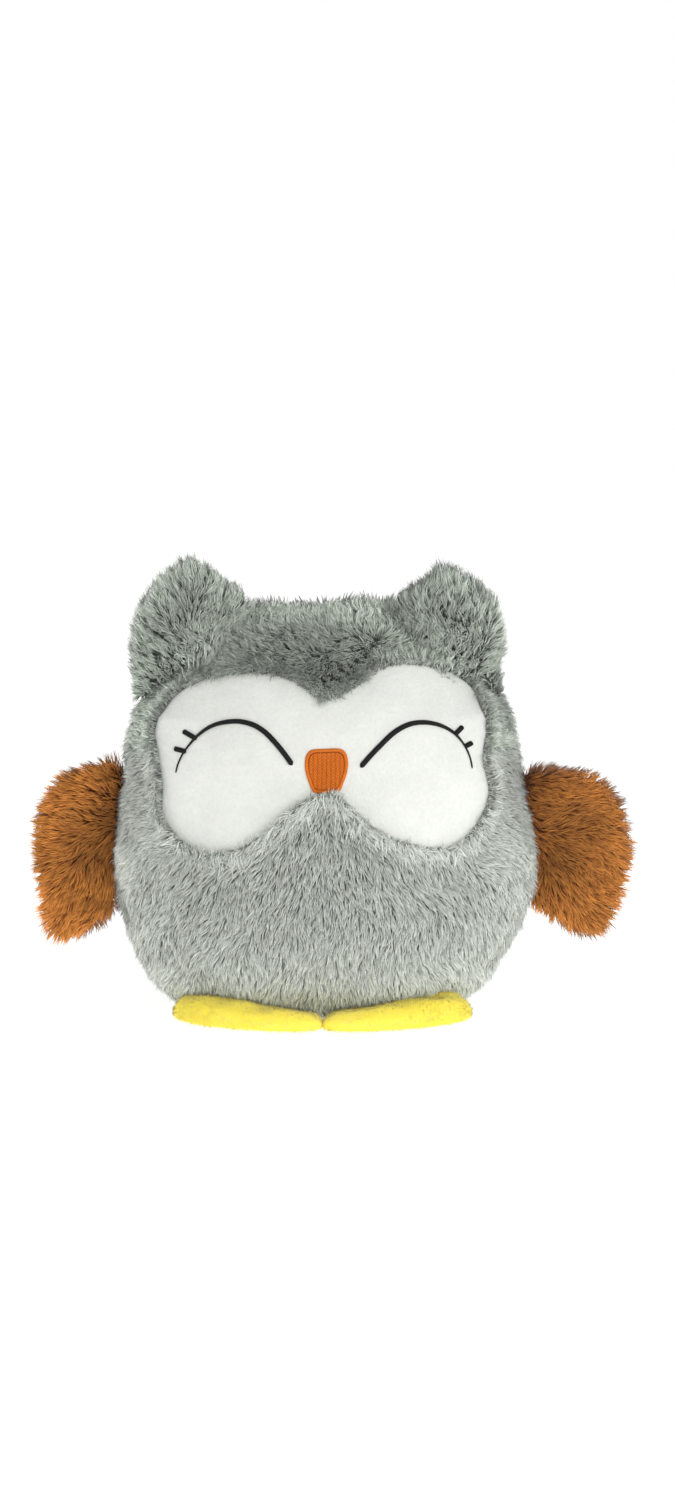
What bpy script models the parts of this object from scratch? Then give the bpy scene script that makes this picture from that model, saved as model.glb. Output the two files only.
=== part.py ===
"""Plush owl that sits on a flat base, in metres, facing -Y with +Z up.

The origin is the middle of the base panel's underside, on the floor. The owl's own left is +X.
Each cloth panel, filling and line of embroidery is an object of its own. A sewn panel is a wall
between two surfaces, its pile outside and its backing inside, and neighbours share the line
between both surfaces, so that they meet in mitred seams.
"""

import math

import bmesh
import bpy
from mathutils import Vector

FRONT = -1
BACK = 1
LEFT = 1
RIGHT = -1

# Body
BODY_HEIGHT = 0.201
BODY_HALF_WIDTH = 0.1055
CROWN_HALF_WIDTH = 0.034
BELLY_DEPTH = 0.064
BACK_DEPTH = 0.058
PANEL_THICKNESS = 0.0045
BASE_THICKNESS = 0.0035
SEAM_GAP = 0.0003
STUFFING_CLEARANCE = 0.003
SECTION_POWER = 0.87

# Half width and depths by height, each as shares of the whole
CREASE_LOW_SHARE = 0.75
SIDE_SHARES = (
    (0.0, 0.725),
    (0.05, 0.815),
    (0.1, 0.863),
    (0.17, 0.92),
    (0.26, 0.98),
    (0.37, 1.0),
    (0.48, 0.98),
    (0.57, 0.95),
    (0.65, 0.915),
    (CREASE_LOW_SHARE, 0.865),
)
BELLY_SHARES = (
    (0.0, 0.66),
    (0.1, 0.86),
    (0.25, 1.0),
    (0.45, 0.97),
    (0.65, 0.88),
    (0.82, 0.70),
    (0.93, 0.45),
    (0.98, 0.24),
    (1.0, 0.015),
)
BACK_SHARES = (
    (0.0, 0.74),
    (0.1, 0.90),
    (0.27, 1.0),
    (0.5, 0.96),
    (0.72, 0.83),
    (0.88, 0.59),
    (0.97, 0.30),
    (1.0, 0.015),
)

# Front panels' corners, as shares of the way round their outline from the side of the face
HIP_SHARE = 0.1
FOREHEAD_CORNER_SHARES = (0.3, 0.7)
CHEST_CORNER_SHARES = (0.4, 0.5)

# Face patch, its width measured round the head
FACE_HALF_WIDTH = 0.115
FACE_HEIGHT = 0.084
FACE_RECESS = 0.0024
FACE_CENTRE_SHARE = 0.682
BROW_SHARES = (
    (0.85, -0.04),
    (0.92, 0.07),
    (0.935, 0.155),
    (0.97, 0.24),
    (1.0, 0.32),
    (0.88, 0.415),
    (0.60, 0.465),
    (0.31, 0.385),
    (0.12, 0.295),
    (0.0, 0.25),
)
CHEEK_SHARES = (
    (0.85, -0.04),
    (0.84, -0.20),
    (0.80, -0.33),
    (0.71, -0.47),
    (0.60, -0.55),
    (0.48, -0.58),
    (0.35, -0.52),
    (0.235, -0.425),
    (0.12, -0.30),
    (0.0, -0.215),
)

# Embroidery
EYE_THREAD_RADIUS = 0.0012
EYE_TIP_SHARE = 0.4
LASH_RADIUS = 0.0006
LASH_CLEARANCE = 0.001
LASH_LENGTHS = {"upper": 0.0095, "lower": 0.007}
BEAK_HALF_WIDTH = 0.0106
BEAK_HEIGHT = 0.018
BEAK_BORDER_RADIUS = 0.0011
BEAK_FILL_HEIGHT = 0.0012
EYE_SHARES = (
    (0.752, -0.12),
    (0.745, -0.062),
    (0.726, -0.002),
    (0.686, 0.061),
    (0.626, 0.119),
    (0.555, 0.159),
    (0.475, 0.175),
    (0.383, 0.165),
    (0.30, 0.119),
    (0.23, 0.04),
    (0.163, -0.055),
)
LASH_PLACE_SHARES = {"upper": 0.33, "lower": 0.21}
LASH_ANGLES = {"upper": math.radians(15), "lower": math.radians(8)}
BEAK_SHARES = (
    (0.0, 1.0),
    (0.55, 0.99),
    (0.88, 0.93),
    (1.0, 0.76),
    (0.95, 0.50),
    (0.80, 0.22),
    (0.60, 0.02),
    (0.30, 0.0),
    (0.0, 0.0),
)

# Ears
EAR_HEIGHT = 0.0385
EAR_SWELL = 0.0115
EAR_OUTLINE_SHARES = (
    (0.05, 0.26),
    (0.09, 0.58),
    (0.17, 0.86),
    (0.30, 0.99),
    (0.45, 1.0),
    (0.60, 0.88),
    (0.74, 0.66),
    (0.86, 0.40),
    (0.94, 0.20),
)

# Wings
WING_SPAN = 0.046
WING_HALF_HEIGHT = 0.044
WING_SWELL = 0.0085
WING_ROOT_HALF_LENGTH = 0.032
WING_CENTRE_SHARE = 0.39
WING_ROOT_SHARE = 0.44
WING_OUTLINE_SHARES = (
    (0.12, -0.72),
    (0.32, -0.90),
    (0.52, -1.0),
    (0.70, -0.95),
    (0.85, -0.70),
    (0.96, -0.36),
    (1.0, -0.06),
    (0.96, 0.24),
    (0.89, 0.50),
    (0.77, 0.71),
    (0.58, 0.83),
    (0.38, 0.90),
    (0.17, 0.93),
)

# Limbs' cloth and hinges
LIMB_EDGE = 0.0008
LIMB_SKIN = 0.003
HINGE_SETBACK = 0.002
EAR_ROOT_SHARES = (0.01, 0.99)
EAR_PUFF_POWER = 0.8

# Feet
FOOT_DEPTH = 0.027
FOOT_THICKNESS = 0.009
FOOT_EDGE = 0.0009
FOOT_SKIN = 0.0018
FOOT_PUFF_POWER = 1.2
SOLE_STEEPNESS = 3
FOOT_ROOT_ANGLES = (math.radians(1.5), math.radians(52))
FOOT_OUTLINE_SHARES = (
    (-0.04, 0.22),
    (-0.09, 0.52),
    (-0.11, 0.80),
    (0.02, 0.98),
    (0.22, 1.04),
    (0.45, 1.04),
    (0.68, 0.98),
    (0.90, 0.82),
    (1.06, 0.56),
    (1.08, 0.25),
)

COLOURS = {
    "grey_fur": (0.30, 0.345, 0.335, 1),
    "brown_fur": (0.34, 0.115, 0.028, 1),
    "white_velour": (0.86, 0.86, 0.83, 1),
    "yellow_velour": (0.87, 0.70, 0.08, 1),
    "orange_thread": (0.72, 0.155, 0.02, 1),
    "black_thread": (0.015, 0.015, 0.016, 1),
    "polyester_filling": (0.80, 0.80, 0.78, 1),
}
THREADS = ("orange_thread", "black_thread")
CLOTH_ROUGHNESS = 0.92
THREAD_ROUGHNESS = 0.55

# Fineness of the surfaces
FRONT_COLUMNS = 20
FOREHEAD_ROWS = 6
CHEST_ROWS = 8
FACE_ROWS = 5
BACK_COLUMNS = 7
BACK_ROWS = 12
BASE_POINTS = 40
EYE_POINTS = 18
BEAK_POINTS = 30
BEAK_COLUMNS = 20
BEAK_ROWS = 2
EAR_COLUMNS = 8
EAR_ROWS = 9
WING_COLUMNS = 9
WING_ROWS = 11
FOOT_COLUMNS = 7
FOOT_ROWS = 10
THREAD_ROUNDING = 1
SHARP_ANGLE = math.radians(40)
WELD_DISTANCE = 0.000001


def lerp(start, end, share):
    """The value at this share of the way from start to end."""
    return start + (end - start) * share


def table_slope(table, row):
    """Rise per unit of place at one row of a table, between the rows on either side."""
    low = table[max(row - 1, 0)]
    high = table[min(row + 1, len(table) - 1)]
    return (high[1] - low[1]) / (high[0] - low[0])


def read_table(table, place):
    """Value at a place of the cubic that passes through the table's (place, value) rows."""
    row = 0
    while row < len(table) - 2 and place > table[row + 1][0]:
        row += 1
    step = table[row + 1][0] - table[row][0]
    share = (place - table[row][0]) / step
    start, end = table[row][1], table[row + 1][1]
    leaving = table_slope(table, row) * step
    arriving = table_slope(table, row + 1) * step
    eased = share * share * (3 - 2 * share)
    bend = share * (1 - share) * (leaving * (1 - share) - arriving * share)
    return lerp(start, end, eased) + bend


def outline_point(points, share):
    """Point at this share of a smooth line through an outline's points."""
    last = len(points) - 1
    return [
        read_table([(row / last, point[axis]) for row, point in enumerate(points)], share)
        for axis in (0, 1)
    ]


def half_width(up):
    """Half width of the body at a share of its height; above the crease it runs straight in."""
    if up <= CREASE_LOW_SHARE:
        return BODY_HALF_WIDTH * read_table(SIDE_SHARES, up)
    shoulder = BODY_HALF_WIDTH * SIDE_SHARES[-1][1]
    return lerp(shoulder, CROWN_HALF_WIDTH, (up - CREASE_LOW_SHARE) / (1 - CREASE_LOW_SHARE))


def half_depth(up, side):
    """Depth of the body in front of or behind its side seams at a share of its height."""
    if side == FRONT:
        return BELLY_DEPTH * read_table(BELLY_SHARES, up)
    return BACK_DEPTH * read_table(BACK_SHARES, up)


def rounded(value):
    """Sine or cosine raised to the power that squares the body's oval section a little."""
    return math.copysign(abs(value) ** SECTION_POWER, value)


def lowest_seam():
    """Height at which the panels meet the base panel."""
    return BASE_THICKNESS + SEAM_GAP


def up_share(height):
    """Share of the panels' height at a height above the floor."""
    return (height - lowest_seam()) / (BODY_HEIGHT - lowest_seam())


def body_point(around, up, side, wall=0.0):
    """Point of the stuffed body's outside, or of the surface that lies a wall inside it.

    around runs from -90 to 90 degrees between the side seams, and up from 0 at the base seam to
    1 at the crown seam. A wall thins towards the seams at which the body itself runs out.
    """
    width = half_width(up)
    depth = half_depth(up, side)
    across = width * width / (width + wall) * rounded(math.sin(around))
    out = depth * depth / (depth + wall) * rounded(max(math.cos(around), 0.0))
    height = lerp(lowest_seam(), BODY_HEIGHT - wall, up)
    return Vector((across, side * (out + SEAM_GAP / 2), height))


def face_plan(across, rise):
    """(around, up) of a point of the face, from its distances across and above the centre."""
    sine = abs(math.sin(across / BODY_HALF_WIDTH)) ** (1 / SECTION_POWER)
    height = BODY_HEIGHT * FACE_CENTRE_SHARE + rise
    return math.copysign(math.asin(sine), across), up_share(height)


def face_point(across, rise, lift):
    """Point that stands a lift above the face patch."""
    around, up = face_plan(across, rise)
    return body_point(around, up, FRONT, FACE_RECESS - lift)


def face_outline(shares, turn):
    """Point of the face patch's edge; turn runs 0 to 1 and back to the other side at 2."""
    hand = LEFT if turn <= 1 else RIGHT
    across, rise = outline_point(shares, turn if turn <= 1 else 2 - turn)
    return hand * across * FACE_HALF_WIDTH, rise * FACE_HEIGHT


def corner_point(corners, share):
    """(around, up) at this share of the straight lines between (share, around, up) corners."""
    row = 0
    while row < len(corners) - 2 and share > corners[row + 1][0]:
        row += 1
    low, high = corners[row], corners[row + 1]
    part = (share - low[0]) / (high[0] - low[0])
    return lerp(low[1], high[1], part), lerp(low[2], high[2], part)


def cloth(name):
    """Principled material with the colour and roughness of one cloth or thread."""
    material = bpy.data.materials.new(name)
    material.diffuse_color = COLOURS[name]
    material.use_nodes = True
    shader = material.node_tree.nodes["Principled BSDF"]
    shader.inputs["Base Color"].default_value = COLOURS[name]
    roughness = THREAD_ROUGHNESS if name in THREADS else CLOTH_ROUGHNESS
    shader.inputs["Roughness"].default_value = roughness
    shader.inputs["Metallic"].default_value = 0.0
    return material


def add_object(name, data, colour, pivot=None):
    """Object in the owl's collection, on its hinge if it has one."""
    data.materials.append(MATERIALS[colour])
    obj = bpy.data.objects.new(name, data)
    obj.parent = pivot
    OWL.objects.link(obj)
    return obj


def unchanged(first, second):
    """The plan of a piece that needs none."""
    return first, second


def wall_between(name, colour, outer, inner, columns, rows, plan=unchanged, pivot=None):
    """Closed wall between two surfaces over one flat plan, whose doubled points are merged."""
    mesh = bmesh.new()
    bmesh.ops.create_grid(mesh, x_segments=columns, y_segments=rows, size=1)
    for vertex in mesh.verts:
        vertex.co = (*plan((vertex.co.x + 1) / 2, (vertex.co.y + 1) / 2), 0)
    bmesh.ops.remove_doubles(mesh, verts=mesh.verts, dist=WELD_DISTANCE)
    pile = list(mesh.verts)
    made = bmesh.ops.extrude_face_region(mesh, geom=mesh.faces[:], use_keep_orig=True)
    backing = [item for item in made["geom"] if isinstance(item, bmesh.types.BMVert)]
    home = pivot.location if pivot else Vector()
    for surface, vertices in ((outer, pile), (inner, backing)):
        for vertex in vertices:
            vertex.co = surface(vertex.co.x, vertex.co.y) - home
    bmesh.ops.recalc_face_normals(mesh, faces=mesh.faces)
    if mesh.calc_volume(signed=True) < 0:
        bmesh.ops.reverse_faces(mesh, faces=mesh.faces)
    data = bpy.data.meshes.new(name)
    mesh.to_mesh(data)
    mesh.free()
    data.shade_smooth()
    data.set_sharp_from_angle(angle=SHARP_ANGLE)
    return add_object(name, data, colour, pivot)


def thread(name, colour, points, radii, closed=False):
    """Line of satin stitch: a round bead through the points, with a radius at each."""
    data = bpy.data.curves.new(name, "CURVE")
    data.dimensions = "3D"
    data.bevel_depth = max(radii)
    data.bevel_resolution = THREAD_ROUNDING
    data.use_fill_caps = True
    spline = data.splines.new("POLY")
    spline.points.add(len(points) - 1)
    for place, point, radius in zip(spline.points, points, radii):
        place.co = (*point, 1)
        place.radius = radius / data.bevel_depth
    spline.use_cyclic_u = closed
    return add_object(name, data, colour)


def front_panel_plan(shares, corners, shift):
    """Plan of a front panel, from the face patch's edge to its seams, opened by half a gap."""

    def plan(turn_share, out_share):
        turn = 2 * turn_share
        half = min(turn, 2 - turn)
        across, rise = face_outline(shares, turn)
        inner = face_plan(across, rise + shift * (1 - half))
        around, up = corner_point(corners, half)
        hand = LEFT if turn <= 1 else RIGHT
        eased = math.sin(out_share * math.pi / 2)
        return lerp(inner[0], hand * around, eased), lerp(inner[1], up, eased)

    return plan


def face_patch_plan(turn_share, out_share):
    """Plan of the face patch, from its centre to an edge one seam gap inside its opening."""
    turn = 4 * turn_share
    if turn <= 2:
        across, rise = face_outline(BROW_SHARES, turn)
    else:
        across, rise = face_outline(CHEEK_SHARES, 4 - turn)
    inset = out_share * (1 - SEAM_GAP / math.hypot(across, rise))
    return face_plan(across * inset, rise * inset)


def back_panel_plan(around_share, up_row_share):
    """Plan of half the back, with its rows closer at the base and the crown."""
    return around_share * math.pi / 2, (1 - math.cos(math.pi * up_row_share)) / 2


def whole_front_plan(around_share, up_row_share):
    """Plan of the stuffing, from one side seam to the other."""
    around, up = back_panel_plan(abs(2 * around_share - 1), up_row_share)
    return math.copysign(around, 2 * around_share - 1), up


def make_front_panels():
    """Forehead and chest, which meet at the sides of the face."""
    crease, crown = FOREHEAD_CORNER_SHARES
    hip, base = CHEST_CORNER_SHARES
    side = math.pi / 2
    forehead = ((crease, side, CREASE_LOW_SHARE), (crown, side, 1.0), (1.0, 0.0, 1.0))
    chest = ((hip, side, HIP_SHARE), (base, side, 0.0), (1.0, 0.0, 0.0))
    for name, shares, hand, corners, rows in (
        ("forehead_panel", BROW_SHARES, 1, forehead, FOREHEAD_ROWS),
        ("chest_panel", CHEEK_SHARES, -1, chest, CHEST_ROWS),
    ):
        shift = hand * SEAM_GAP / 2
        start = face_plan(0, shares[0][1] * FACE_HEIGHT + shift)[1]
        wall_between(
            name,
            "grey_fur",
            lambda around, up: body_point(around, up, FRONT),
            lambda around, up: body_point(around, up, FRONT, PANEL_THICKNESS),
            FRONT_COLUMNS,
            rows,
            front_panel_plan(shares, ((0.0, side, start), *corners), shift),
        )


def make_face_patch():
    """White velour patch, set lower than the fur around it."""
    wall_between(
        "face_patch",
        "white_velour",
        lambda around, up: body_point(around, up, FRONT, FACE_RECESS),
        lambda around, up: body_point(around, up, FRONT, PANEL_THICKNESS),
        2 * FRONT_COLUMNS,
        FACE_ROWS,
        face_patch_plan,
    )


def make_back_panels():
    """Two back panels with a seam down the middle of the back."""
    for name, hand in (("back_panel_left", LEFT), ("back_panel_right", RIGHT)):

        def surface(around, up, wall=0.0):
            point = body_point(around, up, BACK, wall)
            seam_shift = SEAM_GAP / 2 * math.cos(around)
            return Vector((hand * (point.x + seam_shift), point.y, point.z))

        wall_between(
            name,
            "grey_fur",
            surface,
            lambda around, up: surface(around, up, PANEL_THICKNESS),
            BACK_COLUMNS,
            BACK_ROWS,
            back_panel_plan,
        )


def make_base_panel():
    """Flat oval on which the owl stands."""
    data = bpy.data.curves.new("base_panel", "CURVE")
    data.dimensions = "2D"
    data.fill_mode = "BOTH"
    data.extrude = BASE_THICKNESS / 2
    spline = data.splines.new("POLY")
    spline.points.add(BASE_POINTS - 1)
    for step, place in enumerate(spline.points):
        turn = math.tau * step / BASE_POINTS
        side = FRONT if math.cos(turn) > 0 else BACK
        point = body_point(math.asin(math.sin(turn)), 0.0, side)
        place.co = (point.x, point.y, 0, 1)
    spline.use_cyclic_u = True
    plate = add_object("base_panel", data, "grey_fur")
    plate.location.z = BASE_THICKNESS / 2


def make_stuffing():
    """Loose filling of the body, with its own shape at rest inside the panels."""
    wall = PANEL_THICKNESS + STUFFING_CLEARANCE
    wall_between(
        "stuffing_core",
        "polyester_filling",
        lambda around, up: body_point(around, up, FRONT, wall),
        lambda around, up: body_point(around, up, BACK, wall),
        2 * BACK_COLUMNS,
        BACK_ROWS,
        whole_front_plan,
    )


def eye_point(share):
    """Point of the closed eye's line, from its outer end, as distances across and above."""
    across, rise = outline_point(EYE_SHARES, share)
    return Vector((across * FACE_HALF_WIDTH, rise * FACE_HEIGHT))


def eye_radius(share):
    """Radius of the eye's line, which thickens towards the beak."""
    return EYE_THREAD_RADIUS * lerp(EYE_TIP_SHARE, 1, share)


def make_eyes():
    """Closed eyes: a curved line of satin stitch and two lashes on each side."""
    for side_name, hand in (("left", LEFT), ("right", RIGHT)):
        shares = [step / EYE_POINTS for step in range(EYE_POINTS + 1)]
        radii = [eye_radius(share) for share in shares]
        line = [
            face_point(hand * eye_point(share).x, eye_point(share).y, radius + SEAM_GAP)
            for share, radius in zip(shares, radii)
        ]
        thread(f"{side_name}_eye_line", "black_thread", line, radii)
        for lash_name, share in LASH_PLACE_SHARES.items():
            angle = LASH_ANGLES[lash_name]
            away = Vector((math.cos(angle), math.sin(angle)))
            clear = eye_radius(share) + LASH_RADIUS + LASH_CLEARANCE
            reaches = (clear, clear + LASH_LENGTHS[lash_name])
            ends = [eye_point(share) + away * reach for reach in reaches]
            line = [face_point(hand * end.x, end.y, LASH_RADIUS + SEAM_GAP) for end in ends]
            thread(f"{side_name}_{lash_name}_lash", "black_thread", line, [LASH_RADIUS] * len(line))


def beak_outline(turn):
    """Point of the beak's edge; turn runs from the top at 0 to the bottom at 1 and on to 2."""
    hand = LEFT if turn <= 1 else RIGHT
    across, rise = outline_point(BEAK_SHARES, turn if turn <= 1 else 2 - turn)
    chin = CHEEK_SHARES[-1][1] * FACE_HEIGHT
    lowest = chin + BEAK_BORDER_RADIUS + 2 * SEAM_GAP
    return Vector((hand * across * BEAK_HALF_WIDTH, lowest + rise * BEAK_HEIGHT))


def make_beak():
    """Embroidered beak: a satin border round a raised fill, just above the chin."""
    turns = [2 * step / BEAK_POINTS for step in range(BEAK_POINTS)]
    lift = BEAK_BORDER_RADIUS + SEAM_GAP
    line = [face_point(*beak_outline(turn), lift) for turn in turns]
    thread("beak_border", "orange_thread", line, [BEAK_BORDER_RADIUS] * len(line), closed=True)
    centre = (beak_outline(0) + beak_outline(1)) / 2

    def plan(turn_share, out_share):
        reach = beak_outline(2 * turn_share) - centre
        inset = out_share * (1 - (BEAK_BORDER_RADIUS + SEAM_GAP) / reach.length)
        return centre + reach * inset

    wall_between(
        "beak_fill",
        "orange_thread",
        lambda across, rise: face_point(across, rise, SEAM_GAP + BEAK_FILL_HEIGHT),
        lambda across, rise: face_point(across, rise, SEAM_GAP),
        BEAK_COLUMNS,
        BEAK_ROWS,
        plan,
    )


def make_pivot(name, location):
    """Empty on the axis about which a limb bends."""
    pivot = bpy.data.objects.new(f"{name}_hinge", None)
    pivot.location = location
    pivot.empty_display_size = LIMB_EDGE
    OWL.objects.link(pivot)
    return pivot


def make_pouch(name, colour, place, edge, sides, columns, rows, pivot):
    """Two skins sewn round their rim and the filling between them.

    place gives the point at a lift from the limb's middle surface. Each side is the name of its
    skin, its direction, its swell over the two shares and the share of the swell that is cloth.
    """

    def inside(first, second):
        return lerp(1 / columns, 1 - 1 / columns, first), lerp(1 / rows, 1 - 1 / rows, second)

    def lifted(direction, swell, share, rim):
        return lambda first, second: place(first, second, direction * (rim + swell(first, second) * share))

    for skin_name, direction, swell, cloth_share in sides:
        outer = lifted(direction, swell, 1, edge)
        inner = lifted(direction, swell, 1 - cloth_share, SEAM_GAP / 2)
        wall_between(f"{name}_{skin_name}", colour, outer, inner, columns, rows, pivot=pivot)
    fronts = [
        lifted(direction, swell, 1 - cloth_share, -SEAM_GAP / 2)
        for _, direction, swell, cloth_share in sides
    ]
    filling = f"{name}_filling"
    wall_between(filling, "polyester_filling", *fronts, columns - 2, rows - 2, inside, pivot)


def cloth_share_of(skin, edge, swell):
    """Share of a limb's swell that is cloth, for a skin of this thickness in its middle."""
    return (skin - edge + SEAM_GAP / 2) / swell


def sewn_line(hand, start, along, out, shares, root_shares, depth):
    """Middle surface of a flat limb, from its sewn root to its outline."""

    def place(first, second, lift):
        root = start + along * lerp(*root_shares, second) + out * SEAM_GAP
        far_along, far_out = outline_point(shares, second)
        rim = start + along * far_along + out * (SEAM_GAP + far_out * depth)
        point = root.lerp(rim, first)
        return Vector((hand * point.x, lift, point.z))

    return place


def make_ears():
    """Ears sewn into the slanting ends of the crown, upright and puffed."""
    inner_end = body_point(math.pi / 2, 1.0, BACK)
    outer_end = body_point(math.pi / 2, CREASE_LOW_SHARE, BACK)
    inner_end.y = outer_end.y = 0
    along = outer_end - inner_end
    out = Vector((-along.z, 0, along.x)).normalized()
    share = cloth_share_of(LIMB_SKIN, LIMB_EDGE, EAR_SWELL)

    def swell(first, second):
        puff = math.sin(math.pi * first) ** EAR_PUFF_POWER
        return EAR_SWELL * puff * math.sqrt(1 - (2 * second - 1) ** 2)

    for side_name, hand in (("left", LEFT), ("right", RIGHT)):
        middle = inner_end + along / 2 + out * (SEAM_GAP + HINGE_SETBACK)
        name = f"{side_name}_ear"
        pivot = make_pivot(name, Vector((hand * middle.x, 0, middle.z)))
        place = sewn_line(hand, inner_end, along, out, EAR_OUTLINE_SHARES, EAR_ROOT_SHARES, EAR_HEIGHT)
        sides = (("front", FRONT, swell, share), ("back", BACK, swell, share))
        make_pouch(name, "grey_fur", place, LIMB_EDGE, sides, EAR_COLUMNS, EAR_ROWS, pivot)


def wing_place(hand):
    """Middle surface of a wing, from the side seam to its outline."""
    centre = BODY_HEIGHT * WING_CENTRE_SHARE
    root_centre = BODY_HEIGHT * WING_ROOT_SHARE

    def place(first, second, lift):
        root_height = root_centre + lerp(-WING_ROOT_HALF_LENGTH, WING_ROOT_HALF_LENGTH, second)
        root = Vector((half_width(up_share(root_height)) + SEAM_GAP, 0, root_height))
        far_out, far_up = outline_point(WING_OUTLINE_SHARES, second)
        rim_height = centre + far_up * WING_HALF_HEIGHT
        rim = Vector((BODY_HALF_WIDTH + far_out * WING_SPAN, 0, rim_height))
        point = root.lerp(rim, first)
        return Vector((hand * point.x, lift, point.z))

    return place


def make_wings():
    """Wings sewn into the side seams, which fold about an upright line beside the body."""
    share = cloth_share_of(LIMB_SKIN, LIMB_EDGE, WING_SWELL)

    def swell(first, second):
        puff = math.sin(math.pi * first)
        return WING_SWELL * puff * math.sqrt(1 - (2 * second - 1) ** 2)

    for side_name, hand in (("left", LEFT), ("right", RIGHT)):
        reach = BODY_HALF_WIDTH + SEAM_GAP + HINGE_SETBACK
        name = f"{side_name}_wing"
        pivot = make_pivot(name, Vector((hand * reach, 0, BODY_HEIGHT * WING_ROOT_SHARE)))
        sides = (("front", FRONT, swell, share), ("back", BACK, swell, share))
        place = wing_place(hand)
        make_pouch(name, "brown_fur", place, LIMB_EDGE, sides, WING_COLUMNS, WING_ROWS, pivot)


def make_feet():
    """Feet sewn into the front of the base seam, flat below and rounded above."""
    inner_end, outer_end = (body_point(angle, 0.0, FRONT) for angle in FOOT_ROOT_ANGLES)
    inner_end.z = outer_end.z = 0
    along = outer_end - inner_end
    out = Vector((along.y, -along.x, 0)).normalized()
    seam_height = BASE_THICKNESS - FOOT_EDGE
    top_swell = FOOT_THICKNESS - seam_height - FOOT_EDGE
    sole_swell = seam_height - FOOT_EDGE

    def top(first, second):
        puff = math.sin(math.pi * first**FOOT_PUFF_POWER)
        return top_swell * puff * (1 - (2 * second - 1) ** 4)

    def sole(first, second):
        middle = math.sin(math.pi * first) * (1 - (2 * second - 1) ** 4)
        return sole_swell * min(1, SOLE_STEEPNESS * middle)

    def rim_point(share):
        point = body_point(lerp(*FOOT_ROOT_ANGLES, share), 0.0, FRONT)
        return Vector((point.x, point.y, 0)) + out * SEAM_GAP

    bulge = max((rim_point(step / FOOT_ROWS) - inner_end).dot(out) for step in range(FOOT_ROWS + 1))
    for side_name, hand in (("left", LEFT), ("right", RIGHT)):

        def place(first, second, lift):
            far_along, far_out = outline_point(FOOT_OUTLINE_SHARES, second)
            rim = inner_end + along * far_along + out * (far_out * FOOT_DEPTH)
            point = rim_point(second).lerp(rim, first)
            return Vector((hand * point.x, point.y, seam_height + lift))

        middle = inner_end + along / 2 + out * (bulge + HINGE_SETBACK)
        name = f"{side_name}_foot"
        pivot = make_pivot(name, Vector((hand * middle.x, middle.y, BASE_THICKNESS)))
        share = cloth_share_of(FOOT_SKIN, FOOT_EDGE, top_swell)
        sides = (("top", 1, top, share), ("sole", -1, sole, 1))
        make_pouch(name, "yellow_velour", place, FOOT_EDGE, sides, FOOT_COLUMNS, FOOT_ROWS, pivot)


for old in list(bpy.data.objects):
    bpy.data.objects.remove(old)
OWL = bpy.data.collections.new("plush_owl")
bpy.context.scene.collection.children.link(OWL)
MATERIALS = {name: cloth(name) for name in COLOURS}

make_stuffing()
make_base_panel()
make_back_panels()
make_front_panels()
make_face_patch()
make_eyes()
make_beak()
make_ears()
make_wings()
make_feet()
bpy.context.view_layer.update()
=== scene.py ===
"""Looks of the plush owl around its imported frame: cloth, pile, velour and embroidery.

Metres, +Z up. The owl faces -Y and its own left is +X. A surface is a function of two shares on a
grid, worked out with numpy as whole arrays, and the pile is strands scattered over such a grid.
"""

import math

import bmesh
import bpy
import numpy as np
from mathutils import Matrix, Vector


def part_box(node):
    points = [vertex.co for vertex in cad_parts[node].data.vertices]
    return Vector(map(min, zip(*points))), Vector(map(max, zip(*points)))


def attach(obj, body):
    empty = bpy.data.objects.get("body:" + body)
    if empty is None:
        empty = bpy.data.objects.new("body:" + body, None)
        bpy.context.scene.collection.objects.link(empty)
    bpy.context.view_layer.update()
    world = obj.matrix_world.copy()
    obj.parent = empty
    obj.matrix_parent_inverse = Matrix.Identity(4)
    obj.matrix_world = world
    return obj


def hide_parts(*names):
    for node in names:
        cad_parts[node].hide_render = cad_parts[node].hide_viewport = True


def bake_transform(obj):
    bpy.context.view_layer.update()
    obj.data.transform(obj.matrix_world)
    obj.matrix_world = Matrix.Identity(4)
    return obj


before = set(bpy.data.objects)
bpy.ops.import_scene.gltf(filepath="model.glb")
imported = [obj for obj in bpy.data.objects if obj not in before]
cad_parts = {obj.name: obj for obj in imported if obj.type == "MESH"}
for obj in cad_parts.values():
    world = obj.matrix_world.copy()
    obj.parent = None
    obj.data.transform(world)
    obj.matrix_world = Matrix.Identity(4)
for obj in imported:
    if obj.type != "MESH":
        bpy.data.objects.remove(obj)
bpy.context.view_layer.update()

FRONT, BACK = -1, 1
LEFT, RIGHT = 1, -1
UP = np.array((0.0, 0.0, 1.0))

# Body, read from the frame
BODY_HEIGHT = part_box("forehead_panel")[1].z
BODY_HALF_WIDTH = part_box("chest_panel")[1].x
BELLY_DEPTH = -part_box("chest_panel")[0].y
BACK_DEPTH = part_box("back_panel_left")[1].y
BASE_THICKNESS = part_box("base_panel")[1].z
CROWN_HALF_WIDTH = 0.034
SHOULDER_BULGE = 0.0045
SECTION_POWER = 0.87
PILE_DEPTH = 0.0052
CLOTH_THICKNESS = 0.0012
BASE_LIP = 0.0005
BASE_FLOOR = 0.0022
BODY_MIDDLE = np.array((0, 0, 0.1))

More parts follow.
